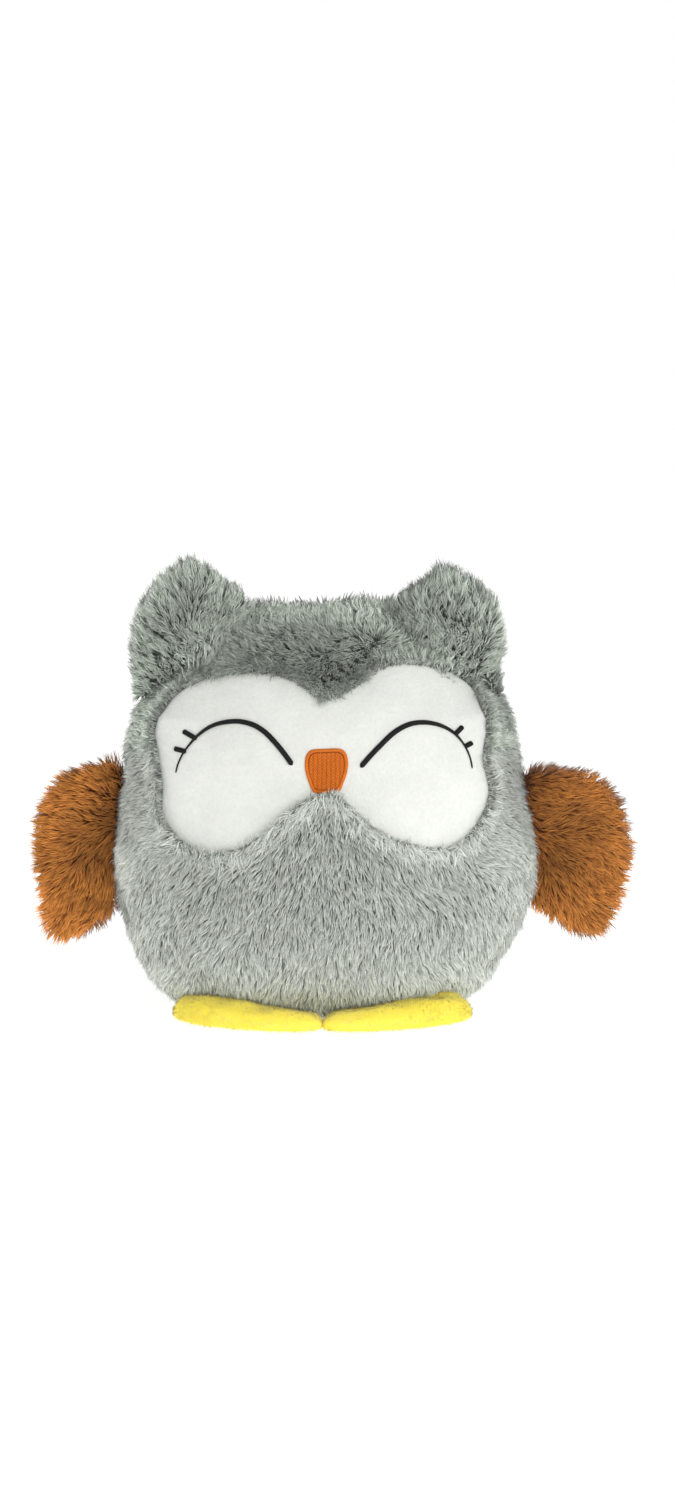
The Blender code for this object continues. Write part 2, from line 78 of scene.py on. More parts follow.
# Half width and depths of the body by height, as shares of the whole
CREASE_LOW_SHARE = 0.75
SIDE_SHARES = (
    (0.0, 0.725), (0.05, 0.815), (0.1, 0.863), (0.17, 0.92), (0.26, 0.98), (0.37, 1.0), (0.48, 0.98),
    (0.57, 0.955), (0.65, 0.93), (CREASE_LOW_SHARE, 0.878),
)
BELLY_SHARES = (
    (0.0, 0.66), (0.1, 0.86), (0.25, 1.0), (0.45, 0.97), (0.65, 0.88), (0.82, 0.70), (0.93, 0.45),
    (0.98, 0.24), (1.0, 0.015),
)
BACK_SHARES = (
    (0.0, 0.74), (0.1, 0.90), (0.27, 1.0), (0.5, 0.96), (0.72, 0.83), (0.88, 0.59), (0.97, 0.30),
    (1.0, 0.015),
)

# Face patch, its width measured round the head
FACE_HALF_WIDTH = 0.115
FACE_HEIGHT = 0.084
FACE_RECESS = 0.0024
FACE_EDGE_DROP = 0.0008
FACE_EDGE_STEEPNESS = 14
FACE_CENTRE_SHARE = 0.682
BROW_SHARES = {
    LEFT: (
        (0.855, -0.01), (0.92, 0.08), (1.005, 0.20), (1.13, 0.28), (1.22, 0.35), (1.17, 0.425),
        (0.96, 0.468), (0.67, 0.483), (0.48, 0.469), (0.35, 0.435), (0.235, 0.385), (0.12, 0.335),
        (0.0, 0.31),
    ),
    RIGHT: (
        (0.95, -0.01), (1.02, 0.09), (1.035, 0.19), (1.065, 0.28), (1.02, 0.36), (0.88, 0.42),
        (0.66, 0.445), (0.44, 0.448), (0.26, 0.425), (0.12, 0.38), (0.0, 0.31),
    ),
}
CHEEK_SHARES = {
    LEFT: (
        (0.855, -0.01), (0.83, -0.097), (0.85, -0.19), (0.845, -0.293), (0.787, -0.39), (0.715, -0.49),
        (0.63, -0.553), (0.52, -0.56), (0.403, -0.53), (0.315, -0.495), (0.244, -0.45), (0.177, -0.384),
        (0.126, -0.315), (0.07, -0.25), (0.0, -0.22),
    ),
    RIGHT: (
        (0.95, -0.01), (0.91, -0.10), (0.87, -0.205), (0.85, -0.31), (0.81, -0.405), (0.735, -0.48),
        (0.65, -0.535), (0.555, -0.578), (0.46, -0.577), (0.37, -0.54), (0.30, -0.495), (0.245, -0.435),
        (0.19, -0.37), (0.13, -0.30), (0.07, -0.25), (0.0, -0.22),
    ),
}
SEAM_RISE_SHARE = -0.01
CHIN_RISE_SHARE = -0.22
HIP_SHARE = 0.1
FOREHEAD_CORNERS = ((0.0, 0.3, 0.7, 1.0), (1.0, 1.0, 1.0, 0.0), (None, CREASE_LOW_SHARE, 1.0, 1.0))
CHEST_CORNERS = ((0.0, 0.4, 0.5, 1.0), (1.0, 1.0, 1.0, 0.0), (None, HIP_SHARE, 0.0, 0.0))

# Embroidery
EYE_SHARES = {
    LEFT: (
        (0.738, -0.112), (0.736, -0.052), (0.724, 0.010), (0.701, 0.064), (0.665, 0.112),
        (0.608, 0.148), (0.538, 0.167), (0.466, 0.167), (0.397, 0.147), (0.330, 0.107), (0.267, 0.049),
        (0.210, -0.013), (0.162, -0.074),
    ),
    RIGHT: (
        (0.777, -0.135), (0.771, -0.079), (0.751, -0.013), (0.712, 0.052), (0.658, 0.108),
        (0.590, 0.150), (0.513, 0.172), (0.431, 0.177), (0.356, 0.160), (0.296, 0.124), (0.244, 0.070),
        (0.198, 0.010), (0.156, -0.055),
    ),
}
EYE_THREAD_RADIUS = 0.00125
EYE_WEIGHT_SHARES = ((0.0, 0.35), (0.2, 0.45), (0.34, 0.72), (0.55, 0.95), (1.0, 1.0))
LASH_RADIUS = 0.00115
LASH_SHARES = {
    LEFT: {"upper": ((0.684, 0.090), (0.742, 0.126)), "lower": ((0.719, 0.013), (0.770, 0.030))},
    RIGHT: {"upper": ((0.682, 0.070), (0.787, 0.109)), "lower": ((0.736, -0.008), (0.816, 0.004))},
}
STITCH_PITCH = 0.00042
BEAD_SIDES = 10
BEAD_FLATNESS = 0.75
BEAD_LIFT = 0.4
BEAK_HALF_WIDTH = 0.0107
BEAK_DRIFT = 0.0005
BEAK_HEIGHT = 0.0195
BEAK_BORDER_RADIUS = 0.00085
BEAK_FILL_COLUMNS = 9
BEAK_FILL_SHARE = 0.93
FILL_LIFT = 0.0001
BEAK_SHARES = (
    (0.0, 1.0), (0.52, 1.0), (0.80, 0.965), (0.96, 0.85), (1.0, 0.66), (0.94, 0.46), (0.79, 0.24),
    (0.60, 0.04), (0.33, 0.0), (0.0, 0.0),
)

# Ears and wings
EAR_HEIGHT = 0.0385
EAR_ROOT_SHARES = (0.03, 0.93)
EAR_SKIN_SHARES = {
    LEFT: (
        (0.06, 0.0), (0.095, 0.14), (0.125, 0.36), (0.16, 0.58), (0.22, 0.71), (0.30, 0.78),
        (0.42, 0.81), (0.54, 0.76), (0.66, 0.53), (0.77, 0.18), (0.93, -0.07),
    ),
    RIGHT: (
        (0.03, 0.0), (0.07, 0.22), (0.095, 0.48), (0.13, 0.70), (0.20, 0.83), (0.32, 0.85),
        (0.42, 0.83), (0.53, 0.73), (0.65, 0.55), (0.80, 0.29), (0.95, 0.02),
    ),
}
EAR_SKIN_SWELL = {FRONT: 0.0165, BACK: 0.0095}
EAR_EASE = 0.42
EAR_FOLD_ANGLE = 1.10
EAR_FOLD_SHARE = 0.62
EAR_START = -0.18
EAR_BARE = -0.12
EAR_TUFT = (0.38, 0.12)
WING_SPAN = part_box("left_wing_front")[1].x - BODY_HALF_WIDTH
WING_HALF_HEIGHT = 0.044
WING_ROOT_HALF_LENGTH = 0.032
WING_CENTRE_SHARE = 0.39
WING_ROOT_HEIGHT = BODY_HEIGHT * 0.44
# Painted light: the right wing's pile is drawn lighter than the left's
WING_PAINTED_LIGHT = {LEFT: 1.0, RIGHT: 1.14}
WING_OUTLINE_SHARES = {
    LEFT: (
        (0.10, -0.62), (0.29, -0.76), (0.53, -0.95), (0.76, -1.0), (0.90, -0.74), (0.97, -0.36),
        (1.0, -0.06), (0.94, 0.24), (0.88, 0.50), (0.77, 0.72), (0.58, 0.86), (0.34, 0.93),
        (0.06, 0.95),
    ),
    RIGHT: (
        (0.12, -0.70), (0.32, -0.90), (0.55, -1.03), (0.78, -1.0), (0.89, -0.73), (0.96, -0.36),
        (1.0, -0.06), (0.94, 0.24), (0.88, 0.50), (0.77, 0.72), (0.60, 0.88), (0.34, 0.99),
        (0.07, 1.04),
    ),
}
WING_SKIN_SWELL = {FRONT: 0.0045, BACK: 0.0045}
WING_INSET = 0.0050
WING_START = -0.12
WING_BARE = -0.05
# Wavelength of the painted shade and light of folds across the wings
WING_FOLD_SHADE_WAVE = 0.05
WING_SWAY_WAVE = 0.018
LIMB_ROWS = 60
LIMB_COLUMNS = 64
LIMB_ENDS = (0.004, 0.996)
NAP_STEP = 0.02

# Feet
FOOT_DEPTH = 0.0252
FOOT_TOP = 0.0124
FOOT_DRIFT = -0.0012
FOOT_SEAM_HEIGHT = 0.0026
FOOT_SOLE = 0.0003
FOOT_ENDS = (-0.12, 0.985)
FOOT_CREASE = 0.0005
FOOT_CREASE_WAVE = 0.022
FOOT_ROOT_ANGLES = (math.radians(1.5), math.radians(52))
FOOT_OUTLINE_SHARES = (
    (-0.05, 0.22), (-0.11, 0.46), (-0.10, 0.72), (0.03, 0.92), (0.24, 1.03), (0.48, 1.04), (0.72, 1.0),
    (0.95, 0.86), (1.12, 0.60), (1.15, 0.26),
)

# Pile: strands to the square metre, lengths in metres, angles in degrees. A strand leans from the
# cloth's normal, bends over, wanders sideways and rises or falls with its tuft, which pulls it.
ANGLES = ("lean", "bend", "wander", "rise")


def pile(like, **changes):
    """A pile like another but for these changes, with its angles turned from degrees to radians."""
    turned = {key: math.radians(changes[key]) for key in ANGLES if key in changes}
    return {**like, **changes, **turned}


GREY_PILE = pile(
    {}, density=1.85e6, length=0.0074, width=0.00057, lean=50, bend=32, tuft=0.0018, pull=0.30,
    wander=15, rise=10, root=0.0,
)
BROW_PILE = pile(
    GREY_PILE, density=2.3e6, length=0.0072, width=0.00059, lean=42, bend=40, tuft=0.0022, pull=0.52,
    wander=32, rise=13,
)
BACK_PILE = pile(GREY_PILE, density=0.8e6, length=0.0085, width=0.00108, tuft=0.0028)
BASE_PILE = pile(BACK_PILE, density=0.3e6, lean=80, bend=12, rise=math.degrees(0.02))
# A root share above 0 starts a strand's colour past its dark root, which is painted light where these
# piles stand in shade: at the face's edge, on the crown, over the ear's fold and on the feet
FRINGE_PILE = pile(
    GREY_PILE, density=2.9e6, length=0.0088, lean=40, bend=56, tuft=0.0026, pull=0.40, wander=26,
    rise=20, root=0.50,
)
BROW_FRINGE_PILE = pile(FRINGE_PILE, length=0.0074, bend=36, pull=0.55, wander=34, root=0.12)
EDGE_PILE = pile(
    GREY_PILE, density=3.6e6, length=0.0048, width=0.00046, lean=38, bend=44, tuft=0.0026, wander=34,
    rise=16, root=0.55,
)
CROWN_PILE = pile(BROW_PILE, density=2.4e6, length=0.0068, lean=28, wander=60, root=0.45)
EAR_PILE = pile(BROW_PILE, density=2.1e6, length=0.0090, tuft=0.0027, pull=0.46, wander=22, rise=11)
EAR_FOLD_PILE = pile(EAR_PILE, root=0.42)
BROWN_PILE = pile(GREY_PILE, density=1.6e6, length=0.0088, width=0.00062, tuft=0.0028)
YELLOW_PILE = pile(
    GREY_PILE, density=0.9e6, length=0.0018, width=0.0006, lean=62, bend=20, pull=0.1, wander=28,
    root=0.5,
)
CROWN_BAND = 0.0085
CROWN_REACH = 0.96
CROWN_DROP = 0.0026
CROWN_DIP = 0.016
CROWN_DIP_WIDTH = 0.010
EDGE_COLUMNS = 360
EDGE_REACH = (-0.0005, 0.0018)
FRINGE_REACH = (-0.0018, 0.0052)
STUFFING_DEPTH = 0.0070
MOST_STRANDS = 19800
CELL = 0.0009
MOST_CELLS = 700
FLOOR_CLEARANCE = 0.0004
MERGE_DISTANCE = 1e-6

# How strands vary: waves along the cloth, spreads of length and width, how deep a root sits, and
# the table of random numbers from which each tuft takes its own
SLOW_WAVE, QUICK_WAVE, LEAN_WAVE = 0.035, 0.012, 0.020
LEAN_LIMITS = (-0.8, 1.45)
LENGTH_SPREAD = (0.8, 1.12)
WIDTH_SPREAD = (0.75, 1.2)
ROOT_DEPTH = 0.0006
TUFT_ROWS = 4096
TUFT_HASH = (73856093, 19349663, 83492791)

# Colours, linear. Each pile runs from a dark root to a light tip: partly painted shade between the
# strands and painted light on the tips
GREY = {"Root": (0.12, 0.132, 0.12), "Middle": (0.405, 0.437, 0.395), "Tip": (0.645, 0.677, 0.627)}
TUFTED = {"Root": (0.07, 0.08, 0.068), "Middle": (0.43, 0.485, 0.415), "Tip": (0.83, 0.90, 0.80)}
BROWN = {"Root": (0.18, 0.064, 0.018), "Middle": (0.39, 0.137, 0.029), "Tip": (0.62, 0.25, 0.050)}
YELLOW = {"Root": (0.95, 0.58, 0.01), "Middle": (1.0, 0.81, 0.055), "Tip": (1.0, 0.91, 0.27)}

# How the sewn body settled: sideways lean by height, and lumps of stuffing
LEAN_SHARES = (
    (0.0, -1.1), (0.1, -0.95), (0.3, 0.0), (0.55, 0.0), (0.70, 0.0), (0.80, -0.5), (0.90, -0.95),
    (1.2, -1.1),
)
LEAN = 0.0030
WING_DRIFT = 0.0034
WING_TOP_SHARE = 0.72
CROWN_RISE = 0.0042
CROWN_RISE_SHARES = (0.86, 1.0)
CROWN_RISE_REACH = (0.056, 0.022)
SLUMP = 0.0030
SLUMP_HEIGHT = 0.138
SLUMP_SPREAD = 0.016
SLUMP_REACH = (0.065, 0.092)
LUMP_HEIGHT = 0.0009
LUMP_SPACING = 0.06
LUMP_RISE = 0.02
LUMP_SEED = 5


# The photograph's frame in pixels, the place of the floor's origin in it, and the camera
PHOTO_HEIGHT = 1500
PHOTO_WIDTH = 675
PHOTO_SCALE = 0.0005
ORIGIN_PLACE = (325, 999.5)
CAMERA_DISTANCE = 1.35
CAMERA_ELEVATION = math.radians(11)
AIM_HEIGHT = 0.10

# Lights: name, place, target, size, watts, spread in degrees
LIGHTS = (
    ("front_light", (0.95, -0.95, 0.30), (0, 0, 0.06), 1.0, 6.3, 180),
    ("low_light", (0.20, -1.15, 0.03), (0, 0, 0.06), 0.6, 4.4, 180),
    ("left_light", (1.15, 0.12, 0.10), (0, 0, 0.06), 0.7, 3.4, 180),
    ("right_light", (-1.15, 0.12, 0.12), (0, 0, 0.06), 0.7, 7.0, 180),
    ("feet_light", (0.03, -0.50, 0.78), (0, -0.10, 0), 0.12, 0.017, 9),
)
FLOOR_REACH = 3.0

# Where the nap turns and where light and shade are painted into the tone: widths from the middle,
# and heights above the floor. A pair is the start and the end of a change, or the middle and the
# spread of a bell. The chin's and belly's spreads are across and up, and the sides' painted shade
# and light are the left and the right one.
CHIN_HEIGHT = 0.108
CHIN_SPREAD = (0.045, 0.028)
CHIN_FAN = 50
BESIDE_REACH = (0.066, 0.082)
BESIDE_HEIGHT = (0.125, 0.032)
BROW_BAND = (0.150, 0.164)
BROW_MIDDLE = 0.030
PART_BAND = (0.172, 0.190)
STAND_BAND = (0.184, 0.198)
UNDER_EAR_HEIGHT = (0.145, 0.02)
UNDER_EAR_REACH = (0.06, 0.08)
FRONT_TONE = 1.09
# Painted shade over the brow: the band it fills, its top, its middle with its spread, its easing to the
# left, and its ends
BROW_SHADE_FOOT = (0.150, 0.170)
BROW_SHADE_TOP = (0.182, 0.198)
BROW_SHADE_MIDDLE = (-0.006, 0.036)
BROW_SHADE_LEFT = (0.020, 0.050)
BROW_SHADE_ENDS = (0.036, 0.060)
SIDE_REACH = (0.06, 0.1)
SIDE_BAND = (0.115, 0.075)
SIDE_PAINTED_SHADE_HIGH = (-0.46, -0.19)
SIDE_PAINTED_LIGHT_LOW = (0.24, 0.34)
# Painted shade in the belly's middle: its height, and its spreads across and up
BELLY_HEIGHT = 0.045
BELLY_SPREAD = (0.036, 0.030)
BASE_PAINTED_LIGHT_BAND = (0.065, 0.018)
CROWN_PAINTED_LIGHT_BAND = (0.186, 0.200)
BACK_PAINTED_LIGHT_BAND = (0.150, 0.195)
SHORT_BAND = (0.006, 0.030)
RECESS_SHARE = 0.16
FRINGE_LIFT = (-0.0002, -0.0012)
EDGE_LIFT = (0.0, -0.0006)
HANG_LEFT = (0.034, 0.012)
HANG_RIGHT = (-0.075, -0.05)
FAN_HEIGHT = 0.007


def lerp(start, end, share):
    """The value at this share of the way from start to end."""
    return start + (end - start) * share


def smooth_step(value, low, high):
    """0 at low, 1 at high, an eased step between, and level beyond."""
    share = np.clip((value - low) / (high - low), 0, 1)
    return share * share * (3 - 2 * share)


def bell(value, middle, spread):
    """1 at the middle, and less to both sides along the normal curve of this spread."""
    return np.exp(-(((value - middle) / spread) ** 2))


def unit(vectors):
    """Vectors of length 1 with the same directions."""
    size = np.linalg.norm(vectors, axis=-1, keepdims=True)
    return vectors / np.maximum(size, 1e-12)


def read_table(table, place):
    """Values at places of the cubic through (place, values) rows: an eased step between two rows
    plus the bend that the slopes at both rows give."""
    rows = np.asarray(table, float)
    last = len(rows) - 1
    low = np.maximum(np.arange(len(rows)) - 1, 0)
    high = np.minimum(np.arange(len(rows)) + 1, last)
    slopes = (rows[high, 1:] - rows[low, 1:]) / (rows[high, :1] - rows[low, :1])
    place = np.asarray(place, float)
    row = np.clip(np.searchsorted(rows[:, 0], place) - 1, 0, last - 1)
    step = (rows[row + 1, 0] - rows[row, 0])[..., None]
    share = (place - rows[row, 0])[..., None] / step
    eased = share * share * (3 - 2 * share)
    bend = share * (1 - share) * (slopes[row] * (1 - share) - slopes[row + 1] * share) * step
    return lerp(rows[row, 1:], rows[row + 1, 1:], eased) + bend


def outline_points(points, share):
    """Points at shares of a smooth line through an outline's points, spaced evenly along it."""
    places = np.linspace(0, 1, len(points))
    return read_table(np.column_stack([places, points]), share)


def half_width(up):
    """Half width of the body: the table below the crease, a straight line to the crown above."""
    side = BODY_HALF_WIDTH * read_table(SIDE_SHARES, np.minimum(up, CREASE_LOW_SHARE))[..., 0]
    shoulder = BODY_HALF_WIDTH * SIDE_SHARES[-1][1]
    slope = (up - CREASE_LOW_SHARE) / (1 - CREASE_LOW_SHARE)
    return np.where(up <= CREASE_LOW_SHARE, side, lerp(shoulder, CROWN_HALF_WIDTH, slope))


def half_depth(up, side):
    """Depth of the body in front of or behind the side seams."""
    belly = BELLY_DEPTH * read_table(BELLY_SHARES, up)[..., 0]
    back = BACK_DEPTH * read_table(BACK_SHARES, up)[..., 0]
    return np.where(np.asarray(side) == FRONT, belly, back)


def rounded(value):
    """Sine or cosine raised to the power that squares the body's oval section a little."""
    return np.sign(value) * np.abs(value) ** SECTION_POWER


def up_share(height):
    """Share of the panels' height at a height above the floor."""
    return (height - BASE_THICKNESS) / (BODY_HEIGHT - BASE_THICKNESS)


def ripple(points, wavelength, seed):
    """Smooth noise with a spread of about 1: a sum of sines that run in random directions."""
    waves = 12
    random = np.random.default_rng(seed)
    directions = unit(random.normal(size=(waves, 3))) * 2 * math.pi / wavelength
    directions *= random.uniform(0.6, 1.5, (waves, 1))
    phases = random.uniform(0, 2 * math.pi, waves)
    return np.sin(points @ directions.T + phases).sum(-1) / math.sqrt(waves / 2)


def settled(points):
    """Points after the owl has settled: it leans sideways by its height, the wings drift along,
    the crown stands up between the ears, the right side slumps out above the wing, and lumps of
    stuffing push the surface out or in."""
    moved = points.copy()
    height = np.clip(points[..., 2] / BODY_HEIGHT, 0, LEAN_SHARES[-1][0])
    moved[..., 0] += LEAN * read_table(LEAN_SHARES, height)[..., 0]
    beyond = np.clip((np.abs(points[..., 0]) - BODY_HALF_WIDTH) / WING_SPAN, 0, 1)
    moved[..., 0] += WING_DRIFT * beyond * np.where(height < WING_TOP_SHARE, 1, 0)
    crown = smooth_step(height, *CROWN_RISE_SHARES)
    moved[..., 2] += CROWN_RISE * crown * smooth_step(np.abs(points[..., 0]), *CROWN_RISE_REACH)
    slump = bell(points[..., 2], SLUMP_HEIGHT, SLUMP_SPREAD)
    moved[..., 0] -= SLUMP * slump * smooth_step(-points[..., 0], *SLUMP_REACH)
    away = unit(points - UP * BODY_HEIGHT / 2) * np.clip(points[..., 2:] / LUMP_RISE, 0, 1)
    return moved + away * (LUMP_HEIGHT * ripple(points, LUMP_SPACING, LUMP_SEED))[..., None]


def section_point(around, up, side, wall=0.0):
    """Points of the body's oval sections, or of the surface a wall inside them: x is the half
    width times the rounded sine of around, y the half depth times its rounded cosine."""
    width = half_width(up)
    depth = half_depth(up, side)
    across = width * width / (width + wall) * rounded(np.sin(around))
    slope = np.clip((up - CREASE_LOW_SHARE) / (1 - CREASE_LOW_SHARE), 0, 1)
    across = across + SHOULDER_BULGE * np.sin(math.pi * slope) * np.sin(around) ** 7
    out = depth * depth / (depth + wall) * rounded(np.maximum(np.cos(around), 0))
    height = lerp(BASE_THICKNESS, BODY_HEIGHT - wall, up)
    return np.stack(np.broadcast_arrays(across, side * out, height), -1)


def body_point(around, up, side, wall=0.0):
    """Points of the body's sections after it has settled."""
    return settled(section_point(around, up, side, wall))


def face_plan(across, rise):
    """(around, up) of points of the face, from distances across and above its centre."""
    sine = np.abs(np.sin(across / BODY_HALF_WIDTH)) ** (1 / SECTION_POWER)
    return np.sign(across) * np.arcsin(sine), up_share(BODY_HEIGHT * FACE_CENTRE_SHARE + rise)


def face_outline(shares, turn):
    """Edge of the face patch; turn runs from the left end at 0 to the right end at 2."""
    left = outline_points(shares[LEFT], np.minimum(turn, 1))
    right = outline_points(shares[RIGHT], np.minimum(2 - turn, 1)) * (-1, 1)
    points = np.where((turn <= 1)[..., None], left, right)
    return points[..., 0] * FACE_HALF_WIDTH, points[..., 1] * FACE_HEIGHT


def edge_band(shares, low, high, rows):
    """(across, rise) of a band along the face patch's edge, from low to high outside it."""
    turn_share, out_share = grid(rows, EDGE_COLUMNS)
    across, rise = face_outline(shares, 2 * turn_share)
    along = unit(np.stack([np.gradient(across, axis=1), np.gradient(rise, axis=1)], -1))
    out = np.stack([-along[..., 1], along[..., 0]], -1)
    centre = np.stack([across, rise], -1)
    out *= np.sign((out * centre).sum(-1, keepdims=True))
    place = centre + out * lerp(low, high, out_share)[..., None]
    return place[..., 0], place[..., 1], out_share


def face_point(across, rise, lift):
    """Points that stand a lift above the face patch."""
    around, up = face_plan(across, rise)
    return body_point(around, up, FRONT, FACE_RECESS - lift)


def grid(rows, columns):
    """Two shares over a grid: the first along its columns, the second along its rows."""
    return np.meshgrid(np.linspace(0, 1, columns + 1), np.linspace(0, 1, rows + 1))


def front_panel_plan(shares, corners, turn_share, out_share):
    """(around, up) of a front panel: from the face patch's edge, eased out to the seams."""
    turn = 2 * turn_share
    half = np.minimum(turn, 2 - turn)
    inner = face_plan(*face_outline(shares, turn))
    start = face_plan(0.0, SEAM_RISE_SHARE * FACE_HEIGHT)[1]
    places, sides, ups = corners
    around = np.interp(half, places, sides) * math.pi / 2
    up = np.interp(half, places, (start, *ups[1:]))
    eased = np.sin(out_share * math.pi / 2)
    outer = np.where(turn <= 1, LEFT, RIGHT) * around
    return lerp(inner[0], outer, eased), lerp(inner[1], up, eased)


def back_panel_plan(around_share, row_share):
    """(around, up) of the back, rows closer at the base and crown by a cosine."""
    return (2 * around_share - 1) * math.pi / 2, (1 - np.cos(math.pi * row_share)) / 2


def face_patch_plan(turn_share, out_share):
    """(across, rise) over the face patch, from its centre to its edge."""
    turn = 4 * turn_share
    brow = face_outline(BROW_SHARES, np.minimum(turn, 2))
    cheek = face_outline(CHEEK_SHARES, np.minimum(4 - turn, 2))
    across = np.where(turn <= 2, brow[0], cheek[0])
    rise = np.where(turn <= 2, brow[1], cheek[1])
    return across * out_share, rise * out_share


def normals_of(points, outward):
    """Unit normals of a grid of points, from the cross product of its two slopes."""
    down, along = np.gradient(points, axis=(0, 1))
    normals = unit(np.cross(along, down))
    return normals * np.sign((normals * outward).sum())


def new_mesh(name, points, faces):
    """Mesh from an array of points and arrays of faces with like numbers of corners."""
    mesh = bpy.data.meshes.new(name)
    mesh.vertices.add(len(points))
    mesh.vertices.foreach_set("co", np.ascontiguousarray(points, np.float32).ravel())
    corners = np.concatenate([part.ravel() for part in faces]).astype(np.int32)
    counts = np.concatenate([np.full(len(part), part.shape[1]) for part in faces])
    mesh.loops.add(len(corners))
    mesh.loops.foreach_set("vertex_index", corners)
    mesh.polygons.add(len(counts))
    starts = np.concatenate([[0], np.cumsum(counts)[:-1]]).astype(np.int32)
    mesh.polygons.foreach_set("loop_start", starts)
    mesh.update(calc_edges=True)
    return mesh


def add_piece(mesh, material, body, replaced=()):
    """Object for a mesh at the origin, with its material, body and the nodes it replaces."""
    piece = bpy.data.objects.new(mesh.name, mesh)
    bpy.context.scene.collection.objects.link(piece)
    mesh.materials.append(material)
    if replaced:
        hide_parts(*replaced)
    if body:
        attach(piece, body)
    return piece


def closed(mesh):
    """The mesh with points that fall together merged, its faces turned outwards and smooth."""
    work = bmesh.new()
    work.from_mesh(mesh)
    bmesh.ops.remove_doubles(work, verts=work.verts, dist=MERGE_DISTANCE)
    bmesh.ops.dissolve_degenerate(work, edges=work.edges, dist=MERGE_DISTANCE / 10)
    bmesh.ops.recalc_face_normals(work, faces=work.faces)
    if work.calc_volume(signed=True) < 0:
        bmesh.ops.reverse_faces(work, faces=work.faces)
    work.to_mesh(mesh)
    work.free()
    mesh.shade_smooth()
    return mesh


def quads_of(index):
    """Faces between neighbouring numbers of a grid of point numbers."""
    corners = (index[:-1, :-1], index[:-1, 1:], index[1:, 1:], index[1:, :-1])
    return np.stack(corners, -1).reshape(-1, 4)


def ring_index(shape):
    """Numbers of a grid's points, with the first column again after the last, so that it closes."""
    index = np.arange(shape[0] * shape[1]).reshape(shape[:2])
    return np.concatenate([index, index[:, :1]], 1)


def wall_mesh(name, outer, inner, loop=False, ridge=None):
    """Closed wall between two like grids of points: both grids, and a rim round their border. In
    a loop the columns run round a middle and close, and only the last row has a rim."""
    if loop:
        outer, inner = outer[:, :-1], inner[:, :-1]
        index = ring_index(outer.shape)
        border = index[-1, :0:-1]
    else:
        index = np.arange(outer[..., 0].size).reshape(outer.shape[:2])
        border = np.concatenate([index[0, :-1], index[:-1, -1], index[-1, :0:-1], index[:0:-1, 0]])
    after = np.roll(border, -1)
    under = outer[..., 0].size
    rim = np.stack([border, border + under, after + under, after], -1)
    points = np.concatenate([outer.reshape(-1, 3), inner.reshape(-1, 3)])
    faces = np.concatenate([quads_of(index), quads_of(index)[:, ::-1] + under, rim])
    mesh = new_mesh(name, points, [faces])
    if ridge is not None:
        set_groove_shade(mesh, np.concatenate([ridge[:, :-1].ravel(), np.zeros(under)]))
    return closed(mesh)


def tube_mesh(name, rings, ridge=None):
    """Closed tube through rings of points, (ring, place on the ring), with flat ends."""
    count, around = rings.shape[:2]
    index = ring_index(rings.shape)
    centres = np.stack([rings[0].mean(0), rings[-1].mean(0)])
    points = np.concatenate([rings.reshape(-1, 3), centres])
    fans = [
        np.stack([index[row, :-1], index[row, 1:], np.full(around, count * around + end)], -1)
        for end, row in enumerate((0, -1))
    ]
    mesh = new_mesh(name, points, [quads_of(index), *fans])
    if ridge is not None:
        set_groove_shade(mesh, np.concatenate([ridge, (1, 1)]))
    return closed(mesh)


def refined(points, values):
    """A grid and the values on it, with each step split until a cell is about CELL wide."""
    for axis in (0, 1):
        step = np.linalg.norm(np.diff(points, axis=axis), axis=-1)
        longest = step.max(axis=1 - axis).mean()
        count = int(np.clip(math.ceil(longest / CELL * (points.shape[axis] - 1)), 2, MOST_CELLS))
        place = np.linspace(0, points.shape[axis] - 1, count + 1)
        low = np.minimum(place.astype(int), points.shape[axis] - 2)
        share = (place - low).reshape((-1, 1, 1) if axis == 0 else (1, -1, 1))
        points, values = (
            lerp(np.take(a, low, axis), np.take(a, low + 1, axis), share) for a in (points, values)
        )
    return points, values


def scattered(points, values, density, random):
    """Points and values at random places of a grid surface. Each cell gets its area times the
    density, rounded up or down by chance, and each place is a blend of the cell's corners."""
    across = points[:-1, 1:] - points[:-1, :-1]
    down = points[1:, :-1] - points[:-1, :-1]
    area = np.linalg.norm(np.cross(across, down), axis=-1)
    expected = area * density * values[:-1, :-1, 0]
    count = np.floor(expected + random.random(expected.shape)).astype(int)
    row, column = (np.repeat(cell.ravel(), count.ravel()) for cell in np.indices(count.shape))
    first, second = random.random((2, len(row), 1))
    both = np.concatenate([points, values], -1)
    low = lerp(both[row, column], both[row, column + 1], first)
    high = lerp(both[row + 1, column], both[row + 1, column + 1], first)
    mixed = lerp(low, high, second)
    return mixed[:, :3], mixed[:, 3:]


def nearest_tuft(points, size, seed):
    """Centre of the tuft that each point belongs to, and the tuft's own random numbers. Tufts
    have one centre in each cube of a lattice, moved at random, and the nearest one counts."""
    table = np.random.default_rng(seed).random((TUFT_ROWS, 7))
    home = np.floor(points / size).astype(np.int64)
    best = np.full(len(points), np.inf)
    centre = np.zeros_like(points)
    traits = np.zeros((len(points), 4))
    for offset in np.ndindex(3, 3, 3):
        cube = home + np.array(offset) - 1
        steps = cube * TUFT_HASH
        drawn = table[(steps[:, 0] ^ steps[:, 1] ^ steps[:, 2]) % TUFT_ROWS]
        place = (cube + drawn[:, :3]) * size
        distance = ((place - points) ** 2).sum(-1)
        nearer = distance < best
        best = np.where(nearer, distance, best)
        centre[nearer] = place[nearer]
        traits[nearer] = drawn[nearer, 3:]
    return centre, traits


